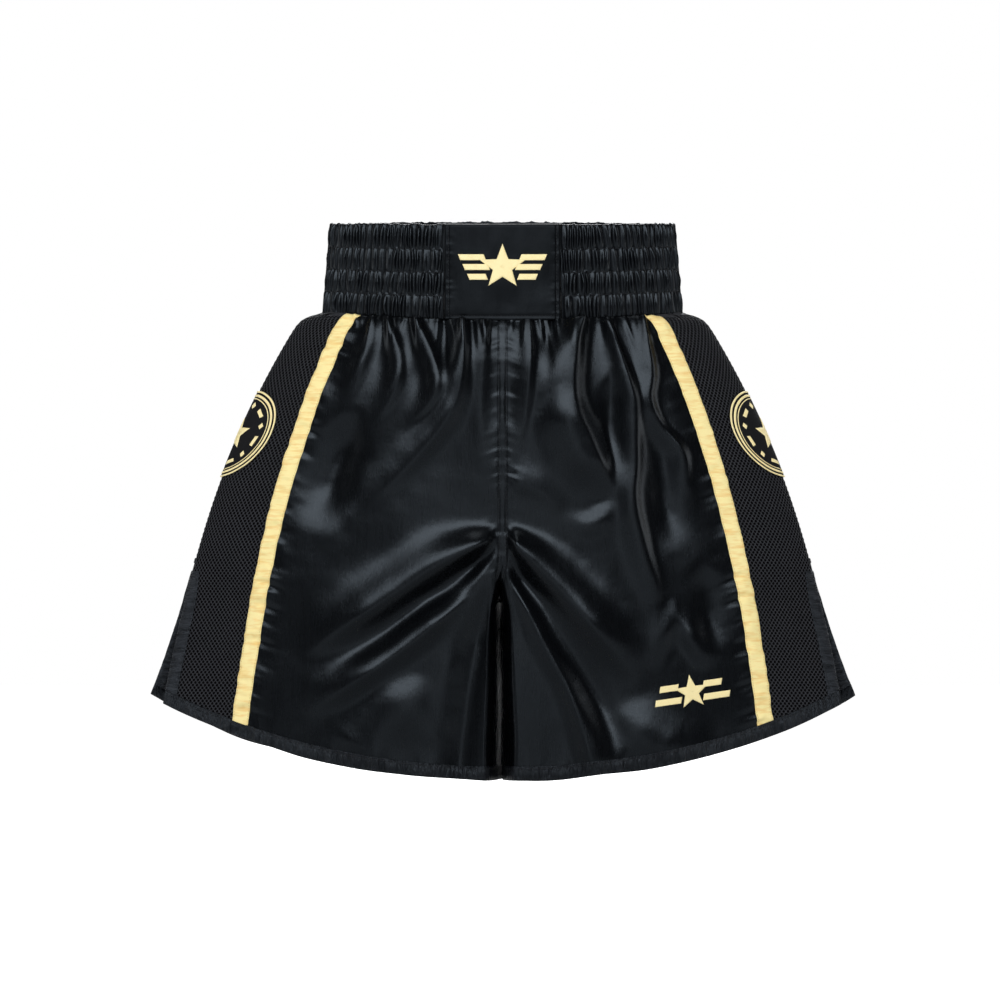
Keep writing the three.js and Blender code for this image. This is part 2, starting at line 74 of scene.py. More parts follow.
FACES = (("front", FRONT), ("back", BACK))
SIDES = (("left", LEFT), ("right", RIGHT))


def box_mm(node):
    low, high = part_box(node)
    return np.array(low) / MM, np.array(high) / MM


# ---- Sizes, from the frame where a node shows them ------------------------------------------

BAND_DIP = 8.0
BAND_FLARE_WIDTH = 7.0
BAND_FLARE_DEPTH = 3.0
BAND_HEIGHT = -box_mm("waistband_back")[0][2] - BAND_DIP
RIM_HALF_WIDTH = box_mm("waistband_back")[1][0] - BAND_FLARE_WIDTH
RIM_HALF_DEPTH = box_mm("waistband_back")[1][1] - BAND_FLARE_DEPTH
PANEL_HALF = box_mm("waistband_center_panel")[1][0]
ROWS_OF_ELASTIC = 4
BACK_RISE = 3.0
FRONT_DROP = 2.5
LENGTH = -box_mm("hem_front_left")[0][2]
HEM_HALF_WIDTH = 338.0
BACK_TAIL_SPREAD = 18.0
HEM_RADIUS = 800.0
HEM_BAND = 13.0
SHOULDER_HALF_WIDTH = 199.0
HIP_HALF_DEPTH = 76.0
HEM_HALF_DEPTH = 92.0
CROTCH_DEPTH = 378.0
CROTCH_CURVE = 43.0
LEG_GAP = 1.0
LEG_SWAY = 2.7
INNER_ROUND_TOP = 8.0
INNER_ROUND_HEM = 17.0
RIBBON_PLACE = 0.765
RIBBON_WIDTH = 16.0
BADGE_RADIUS = 47.0
BADGE_DEPTH = 209.0
VENT_TOP = 339.0
VENT_OPEN = 18.0
FACING_WIDTH = 13.0
FACING_START = 7.0
SECTION_POWER = 0.65
NECK_LENGTH = 3.5
HIP_LENGTH = 25.0
FLAT_TAIL_LENGTH = 45.0
SEAM_GAP = 0.15
SEAM_HALF = 5.0
HEM_SIDE = LENGTH - (HEM_RADIUS - math.sqrt(HEM_RADIUS**2 - HEM_HALF_WIDTH**2))


# ---- The smooth garment ----------------------------------------------------------------------


def smoothstep(value, low, high):
    t = np.clip((value - low) / (high - low), 0, 1)
    return t * t * (3 - 2 * t)


def bell(value, width):
    return np.exp(-((value / width) ** 2))


def unit(vectors):
    return vectors / np.maximum(1e-9, np.linalg.norm(vectors, axis=-1, keepdims=True))


def vent_share(depth):
    return np.clip((depth - VENT_TOP) / (HEM_SIDE - VENT_TOP), 0, 1.3)


def half_width(depth, face):
    depth = np.asarray(depth, float)
    band = RIM_HALF_WIDTH + BAND_FLARE_WIDTH * depth / BAND_HEIGHT
    drop = np.maximum(0, depth - BAND_HEIGHT - 2 * SEAM_GAP)
    share = drop / (HEM_SIDE - BAND_HEIGHT)
    swell = 1 - np.maximum(0, 1 - share) ** 2.6
    flare = (HEM_HALF_WIDTH - SHOULDER_HALF_WIDTH) * (swell + share) * 0.5
    tuck = SHOULDER_HALF_WIDTH - RIM_HALF_WIDTH - BAND_FLARE_WIDTH
    spread = BACK_TAIL_SPREAD * vent_share(depth) ** 2 if face == BACK else 0
    skirt = SHOULDER_HALF_WIDTH + flare + spread - tuck * np.exp(-drop / NECK_LENGTH)
    return np.where(depth <= BAND_HEIGHT, band, skirt)


def band_edge(share):
    return BAND_HEIGHT + BAND_DIP * (1 - np.asarray(share, float) ** 2)


def band_half_depth(depth):
    return RIM_HALF_DEPTH + BAND_FLARE_DEPTH * np.clip(depth / BAND_HEIGHT, 0, 1)


def half_depth(depth, share):
    drop = np.maximum(0, depth - band_edge(share) - 2 * SEAM_GAP)
    seam = band_half_depth(depth)
    hip = (HIP_HALF_DEPTH - seam) * (1 - np.exp(-drop / HIP_LENGTH))
    return seam + hip + (HEM_HALF_DEPTH - HIP_HALF_DEPTH) * drop / (LENGTH - BAND_HEIGHT)


def section_curve(share, depth):
    def curved(value):
        return np.maximum(0, 1 - value**2) ** SECTION_POWER

    flat = curved(RIBBON_PLACE) * (1 - share) / (1 - RIBBON_PLACE)
    flatness = smoothstep(depth, VENT_TOP - 5, VENT_TOP - 5 + FLAT_TAIL_LENGTH)
    outer = curved(share) * (1 - flatness) + flat * flatness
    return np.where(share <= RIBBON_PLACE, curved(share), outer)


def leg_split(depth):
    return np.clip((depth - CROTCH_DEPTH + CROTCH_CURVE) / CROTCH_CURVE, 0, 1)


def inner_edge(depth):
    return SEAM_GAP + LEG_GAP / 2 * leg_split(depth)


def base_point(share, depth, face, side):
    """Points on the smooth garment. The gap between the legs is shifted one way at the front and
    the other way at the back, so no light shows straight through it."""
    share, depth = np.broadcast_arrays(np.asarray(share, float), np.asarray(depth, float))
    split = leg_split(depth)
    centre = np.sqrt(1 - split**2)
    inner = inner_edge(depth)
    x = inner + (half_width(depth, face) - inner) * share
    round_share = np.clip((depth - CROTCH_DEPTH + CROTCH_CURVE) / (LENGTH - CROTCH_DEPTH), 0, 1)
    corner_width = INNER_ROUND_TOP + (INNER_ROUND_HEM - INNER_ROUND_TOP) * round_share
    along = np.clip((x - inner) / corner_width, 0, 1)
    corner = centre + (1 - centre) * np.sqrt(np.maximum(0, 1 - (1 - along) ** 2))
    side_share = np.clip((share - RIBBON_PLACE) / (1 - RIBBON_PLACE), 0, 1)
    vent_gap = VENT_OPEN * vent_share(depth) ** 1.2 * side_share
    closed = (1 - smoothstep(1 - share, 0, 0.002)) * (depth < VENT_TOP - 3)
    seam = SEAM_GAP * (1 - closed)
    y = seam + vent_gap + half_depth(depth, share) * corner * section_curve(share, depth)
    sway = face * LEG_SWAY * smoothstep(split, 0, 0.5) * np.tanh(y / 10) * bell(x - inner, 22)
    return np.stack([side * x + sway, face * y, -depth], axis=-1)


def base_normal(share, depth, face, side):
    """Outward unit normals. At the side's edge, above the vent, they point straight out."""
    step = 0.004
    low, high = np.clip(share - step, 0, 1), np.clip(share + step, 0, 1)
    across = base_point(high, depth, face, side) - base_point(low, depth, face, side)
    down = base_point(share, depth + 1, face, side) - base_point(share, depth - 1, face, side)
    normal = unit(np.cross(across, down)) * (side * face)
    from_edge = (1 - share) * half_width(depth, face)
    turn = (1 - smoothstep(from_edge, 0, 4)) * (1 - smoothstep(depth, VENT_TOP - 6, VENT_TOP + 4))
    sideways = np.array([side, 0.0, 0.0])
    return unit(normal * (1 - turn)[..., None] + sideways * turn[..., None])


# ---- Folds -----------------------------------------------------------------------------------


def rng(seed):
    return np.random.RandomState(seed)


def value_noise(x, y, cell, seed):
    """Smooth noise from -1 to 1 with features about one cell across."""
    size = 64
    table = rng(seed).uniform(-1, 1, (size, size))
    u, v = np.broadcast_arrays(x / cell, y / cell)
    iu, iv = np.floor(u).astype(int), np.floor(v).astype(int)
    fu, fv = u - iu, v - iv
    fu, fv = fu * fu * (3 - 2 * fu), fv * fv * (3 - 2 * fv)

    def at(a, b):
        return table[a % size, b % size]

    top = at(iu, iv) * (1 - fu) + at(iu + 1, iv) * fu
    bottom = at(iu, iv + 1) * (1 - fu) + at(iu + 1, iv + 1) * fu
    return top * (1 - fv) + bottom * fv


def smooth_path(points, pieces=8):
    """A Catmull-Rom curve through a few points."""
    p = np.array(points, float)
    p = np.vstack([2 * p[0] - p[1], p, 2 * p[-1] - p[-2]])
    t = np.linspace(0, 1, pieces, endpoint=False)[:, None]
    path = [
        0.5
        * (
            2 * b
            + (c - a) * t
            + (2 * a - 5 * b + 4 * c - d) * t**2
            + (3 * b - a - 3 * c + d) * t**3
        )
        for a, b, c, d in zip(p, p[1:], p[2:], p[3:])
    ]
    return np.vstack(path + [p[-2:-1]])


FOLD_REACH = 2.6  # a fold is worked out to this many of its widths
FOLD_START_WIDTH = 0.35  # share of its width that a fold starts with
FOLD_OPEN_AT = 0.35  # share of its length at which it has all its width
HAIR = 1e-6
SHORTEST_FADE = 1e-5


def fold(x, depth, points, height, width, steep=1.0, fade=(0.15, 0.3)):
    """A ridge along a path that opens out from its start, and is wider by steep on one side."""
    path = smooth_path(points) if len(points) > 2 else np.array(points, float)
    reach = FOLD_REACH * width * max(steep, 1 / steep)
    low, high = path.min(0) - reach, path.max(0) + reach
    near = (x > low[0]) & (x < high[0]) & (depth > low[1]) & (depth < high[1])
    result = np.zeros(x.shape)
    if not near.any():
        return result
    px, py = x[near], depth[near]
    best = np.full(px.shape, 1e9)
    signed, place = np.zeros(px.shape), np.zeros(px.shape)
    lengths = np.r_[0, np.cumsum(np.linalg.norm(np.diff(path, axis=0), axis=1))]
    for i in range(len(path) - 1):
        a, d = path[i], path[i + 1] - path[i]
        size = max(1e-9, d @ d)
        t = np.clip(((px - a[0]) * d[0] + (py - a[1]) * d[1]) / size, 0, 1)
        qx, qy = px - a[0] - t * d[0], py - a[1] - t * d[1]
        distance = np.hypot(qx, qy)
        closer = distance < best
        best = np.where(closer, distance, best)
        signed = np.where(closer, d[0] * qy - d[1] * qx, signed)
        place = np.where(closer, lengths[i] + t * math.sqrt(size), place)
    share = place / lengths[-1]
    opened = FOLD_START_WIDTH + (1 - FOLD_START_WIDTH) * smoothstep(share, -HAIR, FOLD_OPEN_AT)
    spread = np.where(signed > 0, width * steep, width / steep) * opened
    ends = smoothstep(share, -HAIR, max(SHORTEST_FADE, fade[0]))
    ends = ends * (1 - smoothstep(share, 1 - max(SHORTEST_FADE, fade[1]), 1 + HAIR))
    result[near] = height * bell(best, spread) * ends
    return result


# Each fold: its path (across from the centre line, depth), height, width, steepness and how
# much of its length it takes to rise at its start and to die out at its end.
RIGHT_LEG_FOLDS = (
    ([(-126, 84), (-130, 113), (-142, 146), (-164, 192)], 4.5, 8, 1.4, 0.05, 0.6),
    ([(-117, 84), (-102, 138), (-112, 175), (-136, 205)], 5.5, 8.5, 1.4, 0.05, 0.55),
    ([(-90, 84), (-74, 122), (-65, 150), (-72, 176), (-104, 206)], 6.5, 9, 1.4, 0.05, 0.5),
    ([(-60, 84), (-58, 130), (-66, 165)], -4.0, 7, 1.0, 0.05, 0.7),
    ([(-38, 84), (-39, 130), (-45, 172), (-60, 202), (-98, 244), (-150, 286)], 9.0, 13, 1.45, 0.05, 0.6),
    ([(-19, 84), (-20, 130), (-22, 200), (-20, 250)], 3.5, 9, 1.2, 0.05, 0.7),
    ([(-140, 180), (-168, 240), (-190, 310)], -9.0, 22, 1.0, 0.4, 0.4),
    ([(2, 306), (-52, 334), (-102, 365), (-152, 398), (-210, 432)], 12.5, 18, 1.5, 0.14, 0.4),
    ([(-2, 320), (-54, 358), (-126, 412), (-196, 462)], -9.0, 14, 1.0, 0.16, 0.5),
    ([(-30, 366), (-80, 408), (-136, 448), (-206, 492)], 10.0, 19, 1.6, 0.25, 0.4),
    ([(-70, 450), (-120, 500), (-150, 540)], 6.0, 30, 1.0, 0.4, 0.2),
    ([(-10, 346), (-24, 410), (-36, 480), (-48, 600)], -9.0, 15, 1.0, 0.3, 0.02),
)
LEFT_LEG_FOLDS = (
    ([(27, 84), (27, 130), (22, 190), (12, 232)], 5.0, 8, 1.4, 0.05, 0.6),
    ([(50, 84), (45, 120), (42, 170)], -3.5, 7, 1.0, 0.05, 0.7),
    ([(82, 84), (72, 125), (68, 160), (74, 190), (88, 222), (110, 278)], 12.0, 18, 1.6, 0.05, 0.25),
    ([(112, 268), (92, 298), (48, 300)], 4.0, 12, 1.0, 0.4, 0.6),
    (
        [(99, 84), (117, 134), (128, 176), (131, 235), (129, 275), (140, 326), (152, 372), (146, 430)],
        8.5, 11, 1.35, 0.05, 0.4,
    ),
    (
        [(138, 84), (147, 145), (145, 175), (158, 202), (178, 228), (183, 256), (194, 292)],
        6.5, 8.5, 1.35, 0.05, 0.4,
    ),
    ([(110, 140), (108, 200), (116, 250)], -5.0, 10, 1.0, 0.4, 0.5),
    ([(156, 160), (160, 250), (172, 330)], -6.0, 14, 1.0, 0.4, 0.4),
    ([(-2, 256), (30, 262), (66, 284)], 3.0, 14, 0.7, 0.3, 0.6),
    ([(-6, 302), (34, 340), (70, 378), (104, 418), (142, 460)], 14.0, 18, 0.75, 0.12, 0.4),
    ([(4, 322), (46, 398), (86, 464), (128, 540)], -10.0, 16, 1.0, 0.16, 0.4),
    ([(6, 344), (42, 416), (72, 478), (98, 580)], 11.0, 15, 0.65, 0.2, 0.2),
    ([(56, 156), (62, 212), (88, 264)], 6.0, 20, 1.0, 0.4, 0.4),
    ([(174, 366), (162, 404), (148, 446)], 5.0, 11, 1.2, 0.5, 0.5),
    ([(170, 372), (186, 410), (206, 452)], 6.0, 12, 0.8, 0.5, 0.5),
    ([(196, 330), (206, 380), (216, 430)], -4.5, 14, 1.0, 0.4, 0.5),
    ([(100, 478), (156, 514), (206, 536)], 5.0, 24, 1.0, 0.4, 0.4),
)


def gathers(x, depth, seed):
    """Small folds that start at the waistband's seam and die out below it."""
    result = np.zeros(x.shape)
    random = rng(seed)
    place = -172.0
    while place < 168:
        place += random.uniform(5.5, 12)
        length = random.uniform(12, 46)
        lean = random.uniform(-0.3, 0.3) + place / 700
        height, width = random.uniform(1.4, 3.6), random.uniform(2.0, 3.8)
        start = BAND_HEIGHT - 8
        end = float(band_edge(min(1, abs(place) / 190))) + length
        points = [(place, start), (place + lean * length, end)]
        result += fold(x, depth, points, height, width, fade=(0, 0.75))
    return result


def seam_puckers(x, depth, line_x, seed, height, pitch, reach=13.0):
    """Short creases that run off a seam at both sides."""
    away = np.abs(x - line_x)
    return height * value_noise(x * 0.18, depth - 0.35 * away, pitch, seed) * bell(away, reach)


def hem_edge(share, face):
    spread = BACK_TAIL_SPREAD if face == BACK else 0.0
    return LENGTH - (HEM_RADIUS - np.sqrt(HEM_RADIUS**2 - (share * (HEM_HALF_WIDTH + spread)) ** 2))


def displacement(x, depth, face):
    """How far the cloth stands off the smooth garment. x is measured across from the centre."""
    width = half_width(depth, face)
    share = np.abs(x) / width
    satin = 1 - smoothstep(share, RIBBON_PLACE - 0.06, RIBBON_PLACE + 0.1)
    if face == FRONT:
        view_x, view_depth = x, depth
    else:
        view_x, view_depth = -x * 0.94, depth * 1.03 - 12
    result = np.zeros(x.shape)
    if satin.max() > 0:
        for points, height, fold_width, steep, rise, fall in RIGHT_LEG_FOLDS + LEFT_LEG_FOLDS:
            result += fold(view_x, view_depth, points, height, fold_width, steep, (rise, fall))
        result += gathers(x, depth, 11 if face == FRONT else 12)
    inner = np.abs(x) - inner_edge(depth)
    result *= satin * smoothstep(depth, BAND_HEIGHT - 6, BAND_HEIGHT + 8) * smoothstep(inner, 0, 15)
    result += seam_puckers(x, depth, 0, 21 + face, 1.0, 5.0, 13) * (1 - leg_split(depth))
    ribbon_x = np.sign(x) * RIBBON_PLACE * width
    result += seam_puckers(x, depth, ribbon_x, 23 + face, 1.9, 7.0, 17)
    result += seam_puckers(x, depth, ribbon_x, 25 + face, 0.4, 3.8, 9)
    result += value_noise(x, depth, 58.0, 31 + face) * 1.6
    result += value_noise(x, depth, 17.0, 33 + face) * 0.25
    above_hem = np.maximum(0, hem_edge(np.minimum(share, 1), face) - depth)
    result += value_noise(x, depth * 0.3, 9.0, 35 + face) * 1.1 * bell(above_hem, 20)
    at_inner = 1
    if depth.max() > CROTCH_DEPTH - CROTCH_CURVE:
        at_inner = 0.1 + 0.9 * smoothstep(inner, 0, 8)
    below_vent = smoothstep(depth, VENT_TOP, VENT_TOP + 30)
    side_edge = 1 - smoothstep(share, 0.93, 1.0) * (1 - 0.8 * below_vent)
    return result * side_edge * at_inner


def cloth_point(share, depth, face, side, lift=0.0, out=0.0):
    """Points on the folded garment: lifted off it by lift, and moved down along it by out."""
    share, depth, lift, out = np.broadcast_arrays(
        np.asarray(share, float), np.asarray(depth, float), lift, out
    )
    base = base_point(share, depth, face, side)
    normal = base_normal(share, depth, face, side)
    inner = inner_edge(depth)
    x = side * (inner + (half_width(depth, face) - inner) * share)
    rise = displacement(x, depth, face)
    point = base + normal * (rise + lift)[..., None]
    if np.any(out):
        below = base_point(share, depth + 1, face, side) - base
        point = point + unit(below) * out[..., None]
    return point


# ---- Places near the side, by their distance w from its edge -----------------------------------

TABLE_STEP = 0.5
TABLE_DEPTHS = np.arange(80.0, 560.0, 2.0)
TABLE_W = np.arange(0.0, 130.0, TABLE_STEP)


def share_table(face):
    shares = 1 - np.linspace(0, 1, 260) ** 1.6 * 0.34
    table = []
    for depth in TABLE_DEPTHS:
        row = base_point(shares, depth, face, LEFT)
        arc = np.r_[0, np.cumsum(np.linalg.norm(np.diff(row, axis=0), axis=1))]
        table.append(np.interp(TABLE_W, arc, shares))
    return np.array(table)


SHARE_TABLES = {face: share_table(face) for _, face in FACES}


def share_at(w, depth, face):
    """The share of the half width at distance w from the side's edge."""
    table = SHARE_TABLES[face]
    u = np.clip(np.asarray(w, float) / TABLE_STEP, 0, len(TABLE_W) - 1.001)
    v = np.clip((np.asarray(depth, float) - TABLE_DEPTHS[0]) / 2.0, 0, len(TABLE_DEPTHS) - 1.001)
    u, v = np.broadcast_arrays(u, v)
    iu, iv = u.astype(int), v.astype(int)
    fu, fv = u - iu, v - iv
    top = table[iv, iu] * (1 - fu) + table[iv, iu + 1] * fu
    bottom = table[iv + 1, iu] * (1 - fu) + table[iv + 1, iu + 1] * fu
    return top * (1 - fv) + bottom * fv


def w_at_ribbon(depth, face, offset):
    """Distance w of a line that runs down the ribbon, offset from its middle."""
    shares = np.linspace(1, 0.66, 120)
    result = []
    for d in np.atleast_1d(depth):
        row = base_point(shares, d, face, LEFT)
        arc = np.r_[0, np.cumsum(np.linalg.norm(np.diff(row, axis=0), axis=1))]
        goal = RIBBON_PLACE + offset / float(half_width(d, face))
        result.append(np.interp(1 - goal, 1 - shares, arc))
    return np.array(result)


def side_point(w, depth, face, side, lift=0.0):
    """Points near the side. A negative w lies round the edge, on the other face."""
    w, depth, lift = np.broadcast_arrays(np.asarray(w, float), np.asarray(depth, float), lift)
    here = cloth_point(share_at(np.maximum(w, 0), depth, face), depth, face, side, lift)
    if (w < 0).any():
        there = cloth_point(share_at(np.maximum(-w, 0), depth, -face), depth, -face, side, lift)
        here = np.where((w < 0)[..., None], there, here)
    return here


# ---- Making meshes ---------------------------------------------------------------------------


def make_mesh(name, points, faces, materials, slots=None, clean=False):
    mesh = bpy.data.meshes.new(name)
    mesh.from_pydata((np.asarray(points) * MM).tolist(), [], faces)
    for material in materials:
        mesh.materials.append(material)
    if slots is not None:
        mesh.polygons.foreach_set("material_index", np.asarray(slots, np.int32))
    mesh.polygons.foreach_set("use_smooth", np.full(len(mesh.polygons), True))
    mesh.update()
    if clean:
        tidy = bmesh.new()
        tidy.from_mesh(mesh)
        bmesh.ops.remove_doubles(tidy, verts=tidy.verts, dist=0.02 * MM)
        bmesh.ops.dissolve_degenerate(tidy, edges=tidy.edges, dist=0.01 * MM)
        bmesh.ops.recalc_face_normals(tidy, faces=tidy.faces)
        tidy.to_mesh(mesh)
        tidy.free()
    piece = bpy.data.objects.new(name, mesh)
    bpy.context.scene.collection.objects.link(piece)
    return piece


def signed_volume(points, faces):
    corners = np.asarray(points)[np.asarray(faces)]
    first = np.einsum("ij,ij->i", corners[:, 0], np.cross(corners[:, 1], corners[:, 2]))
    second = np.einsum("ij,ij->i", corners[:, 0], np.cross(corners[:, 2], corners[:, 3]))
    return first.sum() + second.sum()


def grid_faces(rows, columns, wrap_rows=False, wrap_columns=False):
    index = np.arange(rows * columns).reshape(rows, columns)
    if wrap_rows:
        index = np.vstack([index, index[:1]])
    if wrap_columns:
        index = np.hstack([index, index[:, :1]])
    corners = [index[:-1, :-1], index[1:, :-1], index[1:, 1:], index[:-1, 1:]]
    return np.stack(corners, -1).reshape(-1, 4)


def shell(name, outer, inner, material):
    """A closed sheet between two grids of points."""
    rows, columns = outer.shape[:2]
    size = rows * columns
    points = np.vstack([outer.reshape(-1, 3), inner.reshape(-1, 3)])
    front = grid_faces(rows, columns)
    index = np.arange(size).reshape(rows, columns)
    loop = np.r_[index[0, :], index[1:, -1], index[-1, -2::-1], index[-2:0:-1, 0]]
    following = np.roll(loop, -1)
    rim = np.stack([loop, following, following + size, loop + size], -1)
    faces = np.vstack([front, front[:, ::-1] + size, rim])
    if signed_volume(points, faces) < 0:
        faces = faces[:, ::-1]
    return make_mesh(name, points, faces.tolist(), [material])


def closed_band(sections):
    """Points and outward faces of a closed band: the rows of sections are its cross-sections."""
    rows, columns = sections.shape[:2]
    points = sections.reshape(-1, 3)
    faces = grid_faces(rows, columns, wrap_rows=True, wrap_columns=True)
    if signed_volume(points, faces) < 0:
        faces = faces[:, ::-1]
    return points, faces


def tube(name, sections, material):
    points, faces = closed_band(sections)
    return make_mesh(name, points, faces.tolist(), [material])


def grid_size(grid):
    """Widest row, longest column and area of a grid of points, in metres."""
    across = np.linalg.norm(np.diff(grid, axis=1), axis=-1)
    down = np.linalg.norm(np.diff(grid, axis=0), axis=-1)
    diagonals = np.cross(grid[1:, 1:] - grid[:-1, :-1], grid[1:, :-1] - grid[:-1, 1:])
    area = np.linalg.norm(diagonals, axis=-1).sum() / 2
    return across.sum(1).max() * MM, down.sum(0).max() * MM, area * MM * MM


def declare_sheet(piece, grid, fullness=1.0):
    """fullness is how much wider the cloth was cut than it now measures."""
    width, length, area = grid_size(np.asarray(grid))
    width, area = width * fullness, min(area * fullness, width * fullness * length)


def corner_name(face_name, side_name):
    return f"{face_name}_tail_{side_name}"


# Where each tail bends: a point of the fold line and the way towards the slit, on the left.
FOLD_POINTS = {FRONT: (291.7, -28.6, -423.0), BACK: (300.8, 27.0, -423.0)}
FOLD_WAYS = {FRONT: (0.921, 0.285, -0.262), BACK: (0.932, -0.315, -0.175)}


def ride_tail(piece, face_name, face, side_name, side):
    """Bake the piece's place into its mesh. The tail's fold point and way for this side are worked out but
    not used, so the piece does not bend at the fold line.
    """
    mirror = np.array([side, 1, 1])
    point, way = np.array(FOLD_POINTS[face]) * mirror, np.array(FOLD_WAYS[face]) * mirror
    corner_name(face_name, side_name)
    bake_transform(piece)


# ---- Materials -------------------------------------------------------------------------------


class Nodes:
    """A short way to write a material's node tree."""

    def __init__(self, name):
        self.material = bpy.data.materials.new(name)
        self.material.use_nodes = True
        self.tree = self.material.node_tree
        self.shader = self.tree.nodes["Principled BSDF"]
        self.place = self.add("ShaderNodeTexCoord").outputs["Object"]

    def add(self, kind, **settings):
        node = self.tree.nodes.new(kind)
        for key, value in settings.items():
            name = key.replace("_", " ")
            if name in node.inputs:
                node.inputs[name].default_value = value
            else:
                setattr(node, key, value)
        return node

    def link(self, source, target):
        self.tree.links.new(source, target)

    def noise(self, scale, detail=3.0, stretch=(1, 1, 1)):
        mapping = self.add("ShaderNodeMapping")
        mapping.inputs["Scale"].default_value = stretch
        self.link(self.place, mapping.inputs["Vector"])
        node = self.add("ShaderNodeTexNoise", Scale=scale, Detail=detail, Roughness=0.6)
        self.link(mapping.outputs["Vector"], node.inputs["Vector"])
        return node.outputs["Fac"]

    def wave(self, direction, scale, distortion=0.6):
        node = self.add(
            "ShaderNodeTexWave", wave_type="BANDS", bands_direction=direction, Scale=scale,
            Distortion=distortion
        )
        self.link(self.place, node.inputs["Vector"])
        return node.outputs["Fac"]

    def math(self, operation, a, b):
        node = self.add("ShaderNodeMath", operation=operation)
        for socket, value in zip(node.inputs, (a, b)):
            if isinstance(value, (int, float)):
                socket.default_value = value
            else:
                self.link(value, socket)
        return node.outputs["Value"]

    def colour(self, factor, dark, bright):
        mix = self.add("ShaderNodeMix", data_type="RGBA")
        mix.inputs["A"].default_value = (*dark, 1)
        mix.inputs["B"].default_value = (*bright, 1)
        self.link(factor, mix.inputs["Factor"])
        self.link(mix.outputs["Result"], self.shader.inputs["Base Color"])

    def gloss(self, factor, low, high):
        node = self.add("ShaderNodeMapRange")
        node.inputs["To Min"].default_value = low
        node.inputs["To Max"].default_value = high
        self.link(factor, node.inputs["Value"])
        self.link(node.outputs["Result"], self.shader.inputs["Roughness"])

    def bump(self, height, strength, distance):
        node = self.add("ShaderNodeBump", Strength=strength, Distance=distance)
        self.link(height, node.inputs["Height"])
        self.link(node.outputs["Normal"], self.shader.inputs["Normal"])

    def finish(self, **settings):
        for key, value in settings.items():
            self.shader.inputs[key.replace("_", " ")].default_value = value
        return self.material


def woven(name, dark, bright, gloss, weave, depth, **settings):
    """Woven cloth: crossed threads, drifting colour and uneven gloss."""
    m = Nodes(name)
    drift = m.noise(26.0, 4.0)
    m.colour(drift, dark, bright)
    m.gloss(m.noise(60.0, 3.0), *gloss)
    threads = m.math("MULTIPLY", m.wave("X", weave), m.wave("Z", weave))
    slubs = m.noise(420.0, 2.0, (1, 1, 0.15))
    m.bump(m.math("ADD", threads, m.math("MULTIPLY", slubs, 0.6)), depth, 0.0002)
    return m.finish(**settings)


def satin_cloth(name, dark, bright, gloss, **settings):
    """Satin: long warp threads, so fine streaks run across the shine, and a few soft creases."""
    m = Nodes(name)
    m.colour(m.noise(18.0, 4.0), dark, bright)
    m.gloss(m.noise(240.0, 3.0, (1, 1, 0.12)), *gloss)
    warp = m.noise(1500.0, 1.0, (1, 1, 0.05))
    creases = m.noise(70.0, 5.0)
    m.bump(m.math("ADD", m.math("MULTIPLY", warp, 0.35), creases), 0.22, 0.0012)
    return m.finish(**settings)


def puckered_cloth(name, dark, bright, gloss, stretch, **settings):
    """Satin turned under and stitched down, so short creases run across the fold; its colour is painted paler
    on the crease crests, a painted sheen.
    """
    m = Nodes(name)
    puckers = m.noise(330.0, 2.0, stretch)
    # painted sheen: the colour follows the creases' height, near black in the hollows and paler on the crests
    m.colour(m.math("POWER", m.math("MULTIPLY", puckers, 1.7), 2.5), dark, bright)
    m.gloss(m.noise(240.0, 3.0), *gloss)
    m.bump(m.math("ADD", puckers, m.math("MULTIPLY", m.noise(1500.0), 0.1)), 0.9, 0.004)
    return m.finish(**settings)


def ribbon_cloth(name, dark, bright, gloss, **settings):
    """Gold woven ribbon with small crosswise creases; its colour is painted paler gold on the crease crests,
    a painted sheen.
    """
    m = Nodes(name)
    wide, narrow = m.noise(60.0, 3.0, (0.35, 0.35, 3.4)), m.noise(120.0, 2.0, (0.5, 0.5, 2.6))
    creased = m.math("MULTIPLY", wide, narrow)
    # painted sheen: paler gold where the creases stand highest, deeper orange gold between them
    m.colour(m.math("POWER", m.math("MULTIPLY", creased, 3.6), 1.4), dark, bright)
    m.gloss(m.noise(60.0, 3.0), *gloss)
    threads = m.math("MULTIPLY", m.wave("X", 1200), m.wave("Z", 1200))
    m.bump(m.math("ADD", threads, m.math("MULTIPLY", creased, 5.0)), 0.35, 0.0006)
    return m.finish(**settings)


def thread(name, dark, bright, gloss, scale, **settings):
    """Twisted thread: fine slanting strands, its colour painted paler on the raised strands as a painted
    highlight.
    """
    m = Nodes(name)
    strands = m.wave("DIAGONAL", scale, 2.0)
    # painted highlight: the colour follows the strands' height, paler where they stand up
    m.colour(strands, dark, bright)
    m.gloss(m.noise(300.0), *gloss)
    m.bump(strands, 0.35, 0.0003)
    return m.finish(**settings)


BLUE_SHINE = (0.76, 0.88, 1.0, 1.0)
INK, INK_LIGHT = (0.0008, 0.0009, 0.0012), (0.0016, 0.0019, 0.0025)
SATIN = satin_cloth(
    "black_satin", INK, INK_LIGHT, (0.235, 0.315), Specular_IOR_Level=0.245,
    Specular_Tint=BLUE_SHINE
)
BAND_SATIN = satin_cloth(
    "gathered_satin", INK, INK_LIGHT, (0.25, 0.33), Specular_IOR_Level=0.27,
    Specular_Tint=BLUE_SHINE
)
